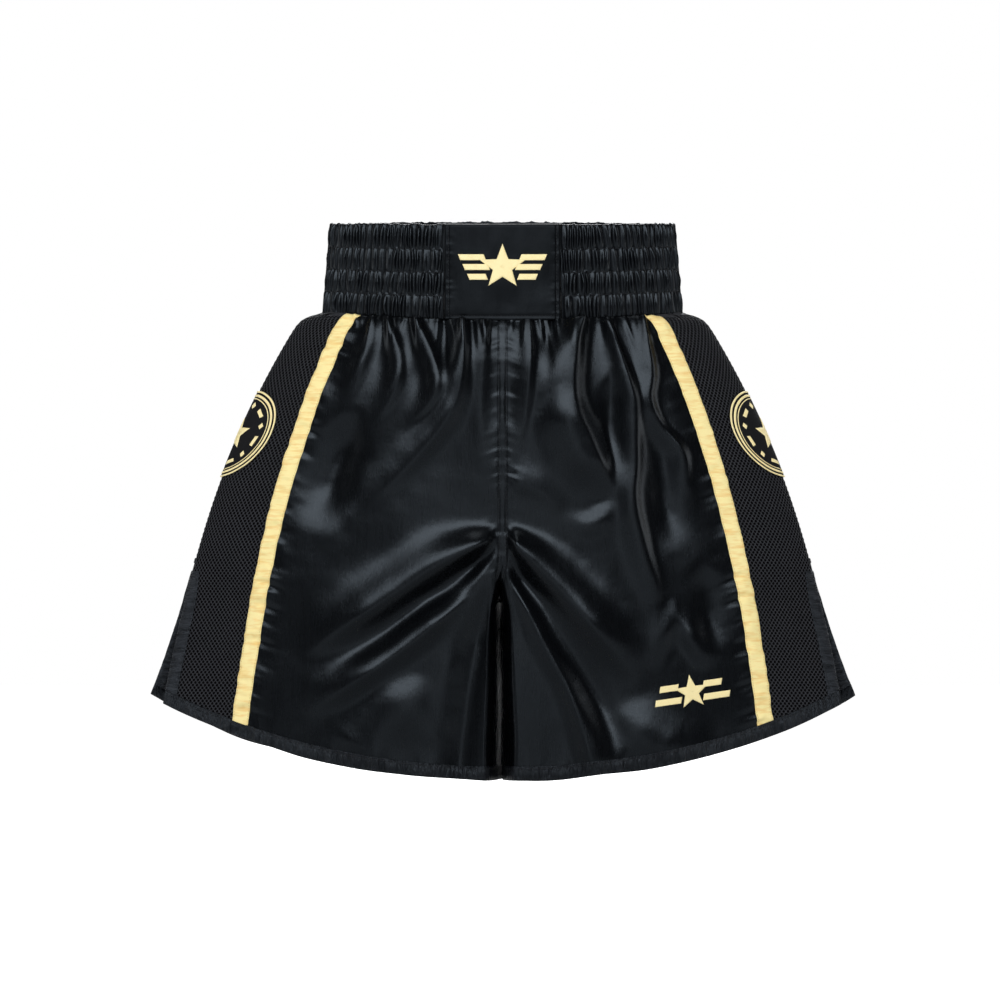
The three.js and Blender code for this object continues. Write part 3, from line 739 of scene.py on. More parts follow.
# The hem's and the binding's paler colours are painted sheen on their crease crests, not the satin's own
# colour.
HEM_SATIN = puckered_cloth(
    "hem_satin", (0.0008, 0.0009, 0.0012), (0.0062, 0.0067, 0.0084), (0.27, 0.38), (1, 1, 0.2),
    Specular_IOR_Level=0.24, Specular_Tint=BLUE_SHINE
)
BINDING = puckered_cloth(
    "binding_satin", (0.001, 0.0011, 0.0014), (0.019, 0.0205, 0.0245), (0.3, 0.42), (0.2, 0.2, 1),
    Specular_IOR_Level=0.25, Specular_Tint=BLUE_SHINE
)
PANEL_SATIN = satin_cloth(
    "panel_satin", INK, INK_LIGHT, (0.33, 0.42), Specular_IOR_Level=0.13, Specular_Tint=BLUE_SHINE
)
YARN = woven(
    "mesh_yarn", (0.018, 0.019, 0.0228), (0.029, 0.0305, 0.0355), (0.5, 0.65), 1500, 0.4,
    Specular_IOR_Level=0.15, Sheen_Weight=0.03
)
# Near-black walls and floors of the knit's hollows: painted shade for the dark seen through real mesh holes.
HOLE_SHADE = woven(
    "mesh_hole_painted_shade", (0.0008, 0.0008, 0.001), (0.0014, 0.0014, 0.0017), (0.85, 0.95), 1500, 0.1,
    Specular_IOR_Level=0.05
)
LINING = woven(
    "lining_cloth", (0.010, 0.011, 0.013), (0.016, 0.017, 0.020), (0.6, 0.75), 1100, 0.3,
    Specular_IOR_Level=0.15, Sheen_Weight=0.05
)
# The ribbon's orange gold is its own colour; its pale yellow is painted sheen on the creases.
RIBBON = ribbon_cloth(
    "gold_ribbon_weave", (0.88, 0.54, 0.15), (1.0, 0.84, 0.38), (0.30, 0.42), Specular_IOR_Level=0.5
)
TWILL = woven(
    "badge_twill", (0.005, 0.005, 0.006), (0.009, 0.009, 0.011), (0.65, 0.8), 1000, 0.5,
    Specular_IOR_Level=0.12
)
LABEL = woven(
    "label_weave", (0.70, 0.69, 0.65), (0.80, 0.79, 0.75), (0.65, 0.8), 1400, 0.3,
    Specular_IOR_Level=0.3
)
BRAID = woven(
    "elastic_braid", (0.03, 0.03, 0.032), (0.05, 0.05, 0.052), (0.7, 0.85), 500, 0.5,
    Specular_IOR_Level=0.3
)
# Each thread's paler colour is painted highlight on its raised strands.
GOLD_THREAD = thread(
    "gold_thread_strands", (0.94, 0.70, 0.27), (1.0, 0.94, 0.58), (0.32, 0.5), 700,
    Specular_IOR_Level=0.5
)
PALE_THREAD = thread(
    "pale_thread_strands", (0.72, 0.50, 0.18), (0.88, 0.68, 0.32), (0.4, 0.6), 900,
    Specular_IOR_Level=0.4
)
BLACK_THREAD = thread(
    "black_thread_strands", (0.006, 0.0065, 0.008), (0.016, 0.017, 0.021), (0.38, 0.55), 900,
    Specular_IOR_Level=0.25
)


# ---- Stitches --------------------------------------------------------------------------------


def stitch_points(path, lengthwise, pitch, radius):
    """Small round-ended threads laid end to end along a path of points."""
    steps = np.linalg.norm(np.diff(path, axis=0), axis=1)
    arc = np.r_[0, np.cumsum(steps)]
    count = int(arc[-1] / pitch)
    points, faces = [], []
    sides = 5
    if count < 1:
        return np.zeros((0, 3)), []
    starts = (np.arange(count) + 0.5) * arc[-1] / count
    profile = ((-0.5, 0.25), (-0.36, 1.0), (0.36, 1.0), (0.5, 0.25))

    def at(place):
        return np.stack([np.interp(place, arc, path[:, k]) for k in range(3)], -1)

    way = unit(at(starts + 0.6) - at(starts - 0.6))
    across = unit(np.cross(way, np.array([0.31, 0.93, 0.19])))
    upward = np.cross(way, across)
    turns = np.arange(sides) * 2 * math.pi / sides
    for place, share in profile:
        centre = at(starts + place * lengthwise)
        for turn in turns:
            points.append(centre + (across * math.cos(turn) + upward * math.sin(turn)) * radius * share)
    points = np.stack(points, 1)
    per = len(profile) * sides
    one = []
    for ring in range(len(profile) - 1):
        for k in range(sides):
            a, b = ring * sides + k, ring * sides + (k + 1) % sides
            one.append([a, b, b + sides, a + sides])
    one.append(list(range(sides))[::-1])
    one.append([per - sides + k for k in range(sides)])
    for i in range(count):
        faces.extend([[i * per + v for v in face] for face in one])
    return points.reshape(-1, 3), faces


def stitches(name, paths, material, lengthwise=2.3, pitch=3.1, radius=0.34):
    points, faces, base = [], [], 0
    for path in paths:
        more, ring = stitch_points(np.asarray(path), lengthwise, pitch, radius)
        points.append(more)
        faces.extend([[base + v for v in face] for face in ring])
        base += len(more)
    return make_mesh(name, np.vstack(points), faces, [material])


# ---- Waistband -------------------------------------------------------------------------------


def rim_height(angles):
    """The rim stands a little higher at the back than at the front."""
    cos = np.cos(angles)
    return np.where(cos > 0, -FRONT_DROP, BACK_RISE) * cos**2


def band_point(angles, depth, lift=0.0):
    """A point of the waistband by its angle, 0 at the front and a quarter turn at the left."""
    angles, depth, lift = np.broadcast_arrays(np.asarray(angles, float), np.asarray(depth, float), lift)
    width = RIM_HALF_WIDTH + BAND_FLARE_WIDTH * np.clip(depth / BAND_HEIGHT, 0, 1)
    thick = band_half_depth(depth)
    cos, sin = np.cos(angles), np.sin(angles)
    x = width * sin
    y = -thick * np.sign(cos) * np.abs(cos) ** (2 * SECTION_POWER)
    z = -depth + rim_height(angles) * np.clip(1 - depth / BAND_HEIGHT, 0, 1)
    normal = unit(np.stack([sin / width, -np.sign(cos) * np.abs(cos) ** 0.85 / thick, 0 * sin], -1))
    return np.stack([x, y, z], -1) + normal * lift[..., None]


def band_depth(angles, share):
    return share * band_edge(np.abs(np.sin(angles)))


def even_angles(start, end, pitch):
    """Angles from start to end that are evenly spaced along the band."""
    fine = np.linspace(start, end, 3000)
    ring = band_point(fine, BAND_HEIGHT / 2)
    arc = np.r_[0, np.cumsum(np.linalg.norm(np.diff(ring, axis=0), axis=-1))]
    count = max(3, int(round(arc[-1] / pitch)) + 1)
    even = np.linspace(0, arc[-1], count)
    return np.interp(even, arc, fine), even


def puckers(arc, row_share, seed, pitch):
    """Height of the shirring over one elastic, 0 in its valleys and up to 1 on its crests."""
    random = rng(seed)
    centres = np.cumsum(random.uniform(pitch * 0.55, pitch * 1.5, int(arc[-1] / pitch * 1.4) + 12)) - 20
    lean = random.uniform(-2.4, 2.4, len(centres))
    bow = random.uniform(-1.4, 1.4, len(centres))
    tall = random.uniform(0.35, 1.0, len(centres))
    reach = random.uniform(0.5, 1.0, len(centres))
    rows = []
    for v in row_share:
        places = centres + lean * (v - 0.5) + bow * math.sin(math.pi * v)
        places = np.maximum.accumulate(places + np.arange(len(places)) * 1e-6)
        phase = np.interp(arc, places, np.arange(len(places)))
        crest = (0.5 + 0.5 * np.cos(2 * math.pi * phase)) ** 1.9
        strength = tall * (1 - (1 - reach) * abs(2 * v - 1))
        rows.append(crest * np.interp(arc, places, strength))
    return np.array(rows)


PUCKER_PITCH = 5.8
SWELL, SINK = 1.6, 0.7  # how far the cloth bulges between two elastics, and is drawn in on them
PUCKER_HEIGHT, PUCKER_GAIN = 1.5, 2.6  # height of a crest on an elastic, and more between two


def shirred_rows(arc, seed, pitch, steps):
    """Shares of the band's height, with the lift of the gathered cloth at each."""
    end = smoothstep(arc, 0, 4) * smoothstep(arc[-1] - arc, 0, 4)
    for row in range(ROWS_OF_ELASTIC):
        shares = np.linspace(0, 1, steps, endpoint=row == ROWS_OF_ELASTIC - 1)
        heights = puckers(arc, shares, seed * 10 + row, pitch)
        for v, height in zip(shares, heights):
            bulge = math.sin(math.pi * v) ** 0.55 if 0 < v < 1 else 0.0
            if row == ROWS_OF_ELASTIC - 1 and v > 0.5:
                bulge = max(bulge, 0.55)
            swell = SWELL * bulge - SINK
            crests = (PUCKER_HEIGHT + PUCKER_GAIN * bulge) * (height - 0.4)
            yield (row + v) / ROWS_OF_ELASTIC, (swell + crests) * end


def shirred_band(name, start, end, seed, sample):
    """A length of gathered satin. Its top rolls over the rim, down behind the elastic."""
    angles, arc = even_angles(start, end, sample)
    rows = list(shirred_rows(arc, seed, PUCKER_PITCH, 16))
    outer, inner = [], []
    first = rows[0][1]
    roll, height = 2.5, 2.0
    ruffle = 1.0 * value_noise(arc, 0 * arc, 5.0, seed + 60)
    up = np.array([0, 0, 1.0])
    for turn in np.linspace(math.pi, 0, 9)[:-1]:
        lift = first * (0.5 + 0.5 * math.cos(turn)) + roll * (math.cos(turn) - 1)
        rise = (height + ruffle + 0.5 * first) * math.sin(turn)
        outer.append(band_point(angles, 0, lift) + up * rise[:, None])
        inside = (roll - 0.8) * (math.cos(turn) - 1) - 0.9
        inner.append(band_point(angles, 0, inside) + up * ((height - 0.8) * math.sin(turn)))
    for share, lift in rows:
        depth = band_depth(angles, share)
        outer.append(band_point(angles, depth, lift))
        inner.append(band_point(angles, depth, np.minimum(lift - 0.5, 0.3 * lift - 1.1)))
    return shell(name, np.array(outer), np.array(inner), BAND_SATIN), angles


def make_waistband():
    quarter, hair = math.pi / 2, 0.0012
    panel = math.asin(PANEL_HALF / RIM_HALF_WIDTH) - 0.004
    spans = (
        ("front_left", panel, quarter - hair, 1, 0.6),
        ("front_right", hair - quarter, -panel, 2, 0.6),
        ("back", quarter + hair, 3 * quarter - hair, 3, 0.75),
    )
    for name, start, end, seed, sample in spans:
        piece, angles = shirred_band(f"gathered_band_{name}", start, end, seed, sample)
        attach(piece, "shorts")
        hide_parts(f"waistband_{name}")
        plain = band_point(angles[None, :], np.linspace(0, BAND_HEIGHT, 5)[:, None])
        declare_sheet(piece, plain, 1.5)
        paths = []
        for row in range(1, ROWS_OF_ELASTIC):
            depth = band_depth(angles, row / ROWS_OF_ELASTIC)
            paths.append(band_point(angles, depth, -0.35))
        thread_piece = stitches(f"band_stitches_{name}", paths, BLACK_THREAD, 2.2, 2.9, 0.3)
        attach(thread_piece, "shorts")


def make_band_lining():
    quarter, hair = math.pi / 2, 0.002
    for name, start, seed in (("front", -quarter, 7), ("back", quarter, 8)):
        angles, arc = even_angles(start + hair, start + 2 * quarter - hair, 1.5)
        face_in, face_out = [], []
        for row in range(ROWS_OF_ELASTIC):
            shares = np.linspace(0, 1, 9, endpoint=row == ROWS_OF_ELASTIC - 1)
            for v, height in zip(shares, puckers(arc, shares, seed * 10 + row, 6.5)):
                depth = 3.0 + (row + v) / ROWS_OF_ELASTIC * (band_edge(np.abs(np.sin(angles))) - 3.0)
                bulge = math.sin(math.pi * v) ** 0.6 if 0 < v < 1 else 0.0
                face_in.append(band_point(angles, depth, -(5.5 + 1.2 * bulge * height)))
                face_out.append(band_point(angles, depth, -4.9 + 0 * angles))
        piece = shell(f"band_lining_{name}", np.array(face_in), np.array(face_out), LINING)
        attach(piece, "shorts")
        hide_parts(f"waistband_lining_{name}")
        declare_sheet(piece, face_out, 1.25)


def make_elastics():
    """Four braided elastics inside the band, ribbed across."""
    for row in range(ROWS_OF_ELASTIC):
        low, high = box_mm(f"elastic_row_{row + 1}")
        angles = np.linspace(0, 2 * math.pi, 720, endpoint=False)
        rib = 0.12 * np.cos(np.arange(len(angles)) * math.pi)
        top, bottom = -high[2] + 0.4, -low[2] - 0.4
        profile = ((top, -3.7), (top, -3.0), (bottom, -3.0), (bottom, -3.7))
        loops = [
            band_point(angles, depth, lift + rib * (1 if lift > -3.3 else -1)) for depth,
            lift in profile
        ]
        piece = tube(f"elastic_braid_{row + 1}", np.stack(loops, 1), BRAID)
        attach(piece, "shorts")
        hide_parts(f"elastic_row_{row + 1}")
        perimeter(loops[0])


def perimeter(loop):
    return float(np.linalg.norm(np.diff(np.vstack([loop, loop[:1]]), axis=0), axis=1).sum() * MM)


def panel_lift(x, depth):
    """The smooth panel between the gathers: soft waves, turned edges and stitched dips."""
    wave = 0.9 * value_noise(x, depth, 27, 41) + 0.3 * value_noise(x, depth * 0.4, 8, 42)
    from_side = PANEL_HALF - np.abs(x)
    from_low = band_edge(0) - depth
    turned = 0.7 * smoothstep(from_side, 0, 1.6) - 0.55 * bell(from_side - 4.0, 1.0)
    drawn = 0.35 * value_noise(x * 0.3, depth, 3.2, 43) * bell(from_side - 4, 5)
    return 1.5 + wave + turned + drawn - 0.55 * bell(from_low - 4.0, 1.0)


def panel_angles(xs, depth):
    return np.arcsin(xs / (RIM_HALF_WIDTH + BAND_FLARE_WIDTH * np.clip(depth / BAND_HEIGHT, 0, 1)))


def make_center_panel():
    xs = np.linspace(-PANEL_HALF, PANEL_HALF, 150)
    outer, inner = [], []
    rim = panel_lift(xs, 0 * xs)
    for turn in np.linspace(math.pi, 0, 9)[:-1]:
        lift = rim * (0.5 + 0.5 * math.cos(turn)) + 2.5 * (math.cos(turn) - 1)
        up = np.array([0, 0, 2.2 * math.sin(turn)])
        outer.append(band_point(panel_angles(xs, 0), 0, lift) + up)
        inner.append(band_point(panel_angles(xs, 0), 0, 0.6 * lift - 1.3) + 0.4 * up)
    plain = []
    for share in np.linspace(0, 1, 100):
        depth = share * band_edge(np.abs(xs) / RIM_HALF_WIDTH)
        angles = panel_angles(xs, depth)
        outer.append(band_point(angles, depth, panel_lift(xs, depth)))
        inner.append(band_point(angles, depth, -0.6 + 0 * xs))
        plain.append(inner[-1])
    piece = shell("smooth_center_panel", np.array(outer), np.array(inner), PANEL_SATIN)
    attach(piece, "shorts")
    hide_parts("waistband_center_panel")
    declare_sheet(piece, plain)
    paths = []
    for x in (-PANEL_HALF + 4.0, PANEL_HALF - 4.0):
        depth = np.linspace(1, float(band_edge(x / RIM_HALF_WIDTH)) - 3, 80)
        at = np.full(80, x)
        paths.append(band_point(panel_angles(at, depth), depth, panel_lift(at, depth) + 0.15))
    at = np.linspace(-PANEL_HALF + 5, PANEL_HALF - 5, 120)
    depth = band_edge(0) - 4.0 - BAND_DIP * (at / RIM_HALF_WIDTH) ** 2
    paths.append(band_point(panel_angles(at, depth), depth, panel_lift(at, depth) + 0.15))
    piece = stitches("center_panel_stitches", paths, BLACK_THREAD, 2.2, 2.9, 0.32)
    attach(piece, "shorts")


def make_label():
    low, high = box_mm("size_label")
    half = (high[0] - low[0]) / 2
    xs = np.linspace(-half, half, 24)
    angles = math.pi + panel_angles(xs, 0 * xs)
    outer, inner = [], []
    for depth in np.linspace(-high[2], -low[2], 18):
        curl = 0.5 * value_noise(xs, depth + 0 * xs, 9.0, 71)
        outer.append(band_point(angles, depth, -8.0 + curl))
        inner.append(band_point(angles, depth, -7.5 + curl))
    piece = shell("woven_size_label", np.array(outer), np.array(inner), LABEL)
    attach(piece, "shorts")
    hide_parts("size_label")
    declare_sheet(piece, inner)
    at = np.linspace(-half + 1, half - 1, 30)
    paths = [
        band_point(math.pi + panel_angles(at, 0 * at), depth, -8.4 + 0 * at)
        for depth in (-high[2] + 1.6, -low[2] - 1.6)
    ]
    piece = stitches("label_stitches", paths, BLACK_THREAD, 1.8, 2.5, 0.25)
    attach(piece, "shorts")


# ---- Satin panels and ribbons ------------------------------------------------------------------


def ribbon_share(depth, face, offset):
    return RIBBON_PLACE + offset / half_width(depth, face)


def settle(inner_at, outer_at, top_at, bottom_at, columns, rows):
    """Shares and depths of a grid whose edges depend on each other."""
    depth = 90 + 400 * np.broadcast_to(rows[:, None], (len(rows), len(columns)))
    for _ in range(12):
        share = inner_at(depth) + (outer_at(depth) - inner_at(depth)) * columns[None, :]
        depth = top_at(share) + (bottom_at(share) - top_at(share)) * rows[:, None]
    return share, depth


def make_satin_panel(face_name, face, side_name, side):
    t = np.linspace(0, 1, 150)
    columns = 0.3 * t**2.2 + 0.7 * t
    share, depth = settle(
        lambda d: 0 * d,
        lambda d: ribbon_share(d, face, 0),
        lambda s: band_edge(s) - 1.0,
        lambda s: hem_edge(s, face) - HEM_BAND + 3,
        columns,
        np.linspace(0, 1, 260),
    )
    outer = cloth_point(share, depth, face, side)
    inner = cloth_point(share, depth, face, side, -1.0)
    piece = shell(f"satin_panel_{face_name}_{side_name}", outer, inner, SATIN)
    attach(piece, "shorts")
    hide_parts(f"{face_name}_satin_{side_name}")
    declare_sheet(piece, base_point(share, depth, face, side), 1.06)


def make_ribbon(face_name, face, side_name, side):
    """Ribbon with small crosswise ripples, stitched down along both edges."""
    half = RIBBON_WIDTH / 2
    across = np.linspace(-1, 1, 15)
    share, depth = settle(
        lambda d: ribbon_share(d, face, -half),
        lambda d: ribbon_share(d, face, half),
        lambda s: band_edge(s) + 0.2,
        lambda s: hem_edge(s, face) - HEM_BAND + 0.2,
        (across + 1) / 2,
        np.linspace(0, 1, 330),
    )
    seed = 51 + side + 3 * face
    ripple = value_noise(across * 5, depth + 2 * across, 4.2, seed)
    fine = value_noise(across * 3, depth, 2.4, seed + 10)
    stitched = bell(np.abs(across) - 0.82, 0.08)
    lift = 1.0 + 0.4 * (1 - across**4) + 0.6 * ripple + 0.2 * fine - 0.3 * stitched
    outer = cloth_point(share, depth, face, side, lift)
    under = cloth_point(share, depth, face, side, 0.12)
    piece = shell(f"gold_ribbon_{face_name}_{side_name}", outer, under, RIBBON)
    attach(piece, "shorts")
    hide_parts(f"ribbon_{face_name}_{side_name}")
    declare_sheet(
        piece, base_point(share, depth, face, side),
    )
    paths = []
    for column in (1, 13):
        paths.append(outer[2:-2, column] + unit(outer - under)[2:-2, column] * 0.12)
    piece = stitches(f"ribbon_stitches_{face_name}_{side_name}", paths, PALE_THREAD, 1.9, 2.7, 0.24)
    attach(piece, "shorts")


# ---- Mesh side panels --------------------------------------------------------------------------

HOLE_PITCH = 4.4
HOLE_ROW = 2.6
HOLE_HALF = (1.5, 1.5)
HOLE_TOP, HOLE_FLOOR, MESH_BACK = -0.2, -0.8, -1.1  # lifts of the hollows and of the knit's back
MESH_REACH = 125.0
ZIGZAG_END = VENT_TOP - 3.0


def mesh_cells(face):
    """Centres of the knit's cells. Above the vent the front and the back share one zigzag edge."""
    cells = []
    rows = int((LENGTH - BAND_HEIGHT) / HOLE_ROW) + 4
    for j in range(-2, rows):
        depth = BAND_HEIGHT + j * HOLE_ROW
        shift = HOLE_PITCH / 2 if j % 2 else 0.0
        for i in range(int(MESH_REACH / HOLE_PITCH)):
            w = i * HOLE_PITCH + shift
            if w > 0 or face == FRONT or depth > ZIGZAG_END:
                cells.append((w, depth))
    return np.array(cells)


def mesh_limits(w, depth, face, ribbon_w):
    """Move points that lie past the panel's edges onto them."""
    edge = np.interp(depth, *ribbon_w)
    low = np.where(depth > ZIGZAG_END, 0.3, -HOLE_PITCH)
    w = np.clip(w, low, edge)
    share = share_at(np.maximum(w, 0), depth, face)
    depth = np.clip(depth, band_edge(share) - 1.0, hem_edge(share, face) - HEM_BAND + 4)
    return np.clip(w, low, np.interp(depth, *ribbon_w)), depth


def make_mesh_panel(face_name, face, side_name, side):
    """Sports mesh: a knit with six-sided blind hollows in a staggered lattice, whose walls and floors are
    near black, painted shade.
    """
    depths = np.arange(84.0, 560.0, 4.0)
    ribbon_w = (depths, w_at_ribbon(depths, face, 0.4))
    cells = mesh_cells(face)
    edge = np.interp(cells[:, 1], *ribbon_w)
    share = share_at(cells[:, 0], cells[:, 1], face)
    slack = HOLE_PITCH
    inside = (cells[:, 0] < edge + slack) & (cells[:, 1] > band_edge(share) - 1 - slack)
    inside &= cells[:, 1] < hem_edge(share, face) - HEM_BAND + 4 + slack
    cells = cells[inside]
    low = (HOLE_ROW**2 - HOLE_PITCH**2 / 4) / (2 * HOLE_ROW)
    tall = HOLE_ROW - low
    half = HOLE_PITCH / 2
    hexagon = np.array([(0, tall), (half, low), (half, -low), (0, -tall), (-half, -low), (-half, low)])
    turns = np.arange(6) * math.pi / 3
    ring = np.array([(math.sin(a) * HOLE_HALF[0], math.cos(a) * HOLE_HALF[1]) for a in turns])
    corners = (cells[:, None, :] + hexagon[None]).reshape(-1, 2)
    keys = np.round(corners / 0.05).astype(int)
    _, first, index = np.unique(keys, axis=0, return_index=True, return_inverse=True)
    index = index.reshape(-1, 6)
    corner_w, corner_depth = mesh_limits(corners[first, 0], corners[first, 1], face, ribbon_w)
    rims = (cells[:, None, :] + ring[None]).reshape(-1, 2)
    rim_w, rim_depth = mesh_limits(rims[:, 0], rims[:, 1], face, ribbon_w)
    moved = np.hypot(rim_w - rims[:, 0], rim_depth - rims[:, 1]).reshape(-1, 6).max(1) > 1e-6
    corner_moved = np.hypot(corner_w - corners[first, 0], corner_depth - corners[first, 1]) > 1e-6
    whole = ~(moved | corner_moved[index].any(1))
    top = side_point(corner_w, corner_depth, face, side, 0.0)
    back = side_point(corner_w, corner_depth, face, side, MESH_BACK)
    rims_kept = rims.reshape(-1, 6, 2)[whole].reshape(-1, 2)
    rim = side_point(rims_kept[:, 0], rims_kept[:, 1], face, side, HOLE_TOP)
    floor = side_point(rims_kept[:, 0], rims_kept[:, 1], face, side, HOLE_FLOOR)
    count = len(top)
    points = np.vstack([top, back, rim, floor])
    rim_start, floor_start = 2 * count, 2 * count + len(rim)
    faces, slots = [], []
    holes = 0
    outline = {}
    for cell, has_hole in zip(index.tolist(), whole):
        faces.append([count + v for v in cell[::-1]])
        slots.append(0)
        for a, b in zip(cell, cell[1:] + cell[:1]):
            if (b, a) in outline:
                del outline[(b, a)]
            else:
                outline[(a, b)] = True
        if not has_hole:
            faces.append(cell)
            slots.append(0)
            continue
        r, f = rim_start + holes * 6, floor_start + holes * 6
        for k in range(6):
            n = (k + 1) % 6
            faces.append([cell[k], cell[n], r + n, r + k])
            slots.append(0)
            # The hollow's wall and floor take the near-black painted shade material.
            faces.append([r + k, r + n, f + n, f + k])
            slots.append(1)
        faces.append([f + k for k in range(6)])
        slots.append(1)
        holes += 1
    for a, b in outline:
        faces.append([b, a, count + a, count + b])
        slots.append(0)
    name = f"mesh_panel_{face_name}_{side_name}"
    piece = make_mesh(name, points, faces, [YARN, HOLE_SHADE], slots, clean=True)
    ride_tail(piece, face_name, face, side_name, side)
    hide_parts(f"mesh_{face_name}_{side_name}", f"mesh_tail_{face_name}_{side_name}")
    lines = np.linspace(0, 1, 14)
    depth = np.linspace(BAND_HEIGHT, float(hem_edge(0.9, face)) - HEM_BAND + 4, 60)[:, None]
    w = np.interp(depth, *ribbon_w) * lines[None, :]
    declare_sheet(piece, side_point(w, depth, face, side))


# ---- Hems, vent facings and tacks ----------------------------------------------------------------


def facing_rise(share, depth, face):
    """How much higher the hem runs where it crosses the vent's facing."""
    from_edge = (1 - share) * half_width(depth, face)
    return 0.75 * (1 - smoothstep(from_edge, 8.5, 12.0))


def hem_wave(share, face, side):
    """The hem's edge wavers a little up and down."""
    wave = value_noise(share * 330 * side, 0 * share, 46, 81 + face)
    return 1.3 * wave * smoothstep(share, 0.02, 0.1)


HEM_STITCHING = 10.8
BINDING_HALF = 0.35
INSIDE_RIPPLE = 0.3  # share of the ripple that the turned-in layer keeps


def make_hem(face_name, face, side_name, side):
    """A turned hem: up the outside to its stitching, round the edge and up the inside."""
    shares = np.linspace(0, 1, 260) ** 0.96
    creases = value_noise(shares * 330, 0 * shares, 3.2, 91 + side + 3 * face)
    slow = value_noise(shares * 330, 0 * shares, 11.0, 95 + side + 3 * face)
    profile = [
        (13.4, 0.1, 0), (13.0, 0.55, 0), (12.0, 0.75, 0), (HEM_STITCHING, 0.4, 0), (9.4, 0.8, 0),
        (7.0, 0.95, 0), (4.5, 1.0, 0), (2.0, 0.9, 0), (0.0, 0.7, 0)
    ]
    bend = [(0.0, -0.15 + 0.85 * math.cos(a), 0.85 * math.sin(a)) for a in np.linspace(0.4, math.pi - 0.4, 5)]
    inside = [(0.0, -1.25, 0), (4.0, -1.45, 0), (8.0, -1.45, 0), (10.0, -1.3, 0)]
    outer, inner = [], []
    for up, lift, out in profile + bend + inside:
        sign = 1 if lift > -0.2 else -1
        depth = hem_edge(shares, face) - up + hem_wave(shares, face, side) * (1 - up / 16)
        rise = facing_rise(shares, depth, face) * sign
        if sign > 0:
            lift = 0.12 + (lift - 0.12) * smoothstep(shares, 0.0, 0.04)
        ripple = (0.95 * (creases + 0.55) + 0.35 * slow) * smoothstep(shares, 0.0, 0.05)
        ripple = ripple * bell(up - 6, 6.5) * (1 if sign > 0 else INSIDE_RIPPLE)
        outer.append(cloth_point(shares, depth, face, side, lift + rise + ripple * 0.8, out))
        shrink = 0.4 * sign
        under = np.minimum(lift - shrink, -0.2) if sign > 0 and np.min(lift) < 0.2 else lift - shrink
        inner.append(cloth_point(shares, depth, face, side, under + rise + ripple * 0.8, max(0, out - 0.4)))
    piece = shell(f"hem_band_{face_name}_{side_name}", np.array(outer), np.array(inner), HEM_SATIN)
    ride_tail(piece, face_name, face, side_name, side)
    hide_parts(f"hem_{face_name}_{side_name}", f"hem_tail_{face_name}_{side_name}")
    declare_sheet(
        piece, outer,
    )
    depth = hem_edge(shares, face) - HEM_STITCHING + hem_wave(shares, face, side) * 0.33
    path = cloth_point(shares, depth, face, side, 0.6 + facing_rise(shares, depth, face))
    piece = stitches(f"hem_stitches_{face_name}_{side_name}", [path[3:-3]], BLACK_THREAD)
    ride_tail(piece, face_name, face, side_name, side)


def make_facing(face_name, face, side_name, side):
    """Satin binding folded over the slit's edge."""
    profile = [
        (FACING_WIDTH, 0.15, 0), (FACING_WIDTH - 0.6, 0.6, 0), (11.0, 0.45, 0), (9.5, 0.75, 0),
        (7.0, 0.85, 0), (4.5, 0.85, 0), (2.2, 0.75, 0), (0.3, 0.6, 0)
    ]
    bend = [(0.3, -0.5 + 1.0 * math.cos(a), 1.0 * math.sin(a)) for a in np.linspace(0.35, math.pi - 0.35, 5)]
    inside = [(0.3, -1.7, 0), (4.0, -1.75, 0), (8.0, -1.75, 0), (FACING_WIDTH - 2, -1.6, 0)]
    start = VENT_TOP + FACING_START
    rows = np.linspace(0, 1, 110)
    end = hem_edge(1.0, face) - 5
    creases_seed = 101 + side + 3 * face
    outer, inner = [], []
    for w, lift, out in profile + bend + inside:
        depth = start + (end - start) * rows
        sign = 1 if lift > -0.5 else -1
        creases = value_noise(w * 0.35 + 0 * depth, depth, 4.2, creases_seed)
        ripple = 0.8 * (0.5 + creases) * bell(w - 6, 6) * (1 if sign > 0 else INSIDE_RIPPLE)
        share = share_at(w, depth, face)
        edge_way = unit(base_point(1.0, depth, face, side) - base_point(0.985, depth, face, side))
        outer.append(cloth_point(share, depth, face, side, lift + ripple) + edge_way * out)
        under = cloth_point(share, depth, face, side, lift - BINDING_HALF * sign + ripple)
        inner.append(under + edge_way * max(0, out - BINDING_HALF))
    piece = shell(f"vent_binding_{face_name}_{side_name}", np.stack(outer, 1), np.stack(inner, 1), BINDING)
    ride_tail(piece, face_name, face, side_name, side)
    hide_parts(f"vent_facing_{face_name}_{side_name}")
    declare_sheet(piece, np.stack(outer, 1))
    depth = np.linspace(start + 2, hem_edge(1.0, face) - HEM_BAND - 1, 60)
    paths = [
        cloth_point(share_at(w, depth, face), depth, face, side, lift) for w,
        lift in ((11.0, 0.7), (2.6, 0.95))
    ]
    piece = stitches(f"vent_stitches_{face_name}_{side_name}", paths, BLACK_THREAD, 2.1, 2.9, 0.3)
    ride_tail(piece, face_name, face, side_name, side)


def make_bar_tack(side_name, side):
    """A dense row of short threads that locks the top of the vent."""
    low, high = box_mm(f"bar_tack_{side_name}")
    top, bottom = -high[2], -low[2]
    paths = []
    for w in np.arange(-6.0, 6.1, 0.75):
        depth = np.linspace(top, bottom + 1.0, 6)
        paths.append(side_point(w, depth, FRONT, side, 0.45 + 0 * depth))
    for depth in (top + 1.2, bottom - 0.6):
        w = np.linspace(-6.3, 6.3, 24)
        paths.append(side_point(w, depth, FRONT, side, 0.9 + 0 * w))
    piece = stitches(f"bar_tack_threads_{side_name}", paths, BLACK_THREAD, 5.4, 5.0, 0.42)
    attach(piece, "shorts")
    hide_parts(f"bar_tack_{side_name}")


# ---- Centre seams and inseams ---------------------------------------------------------------------


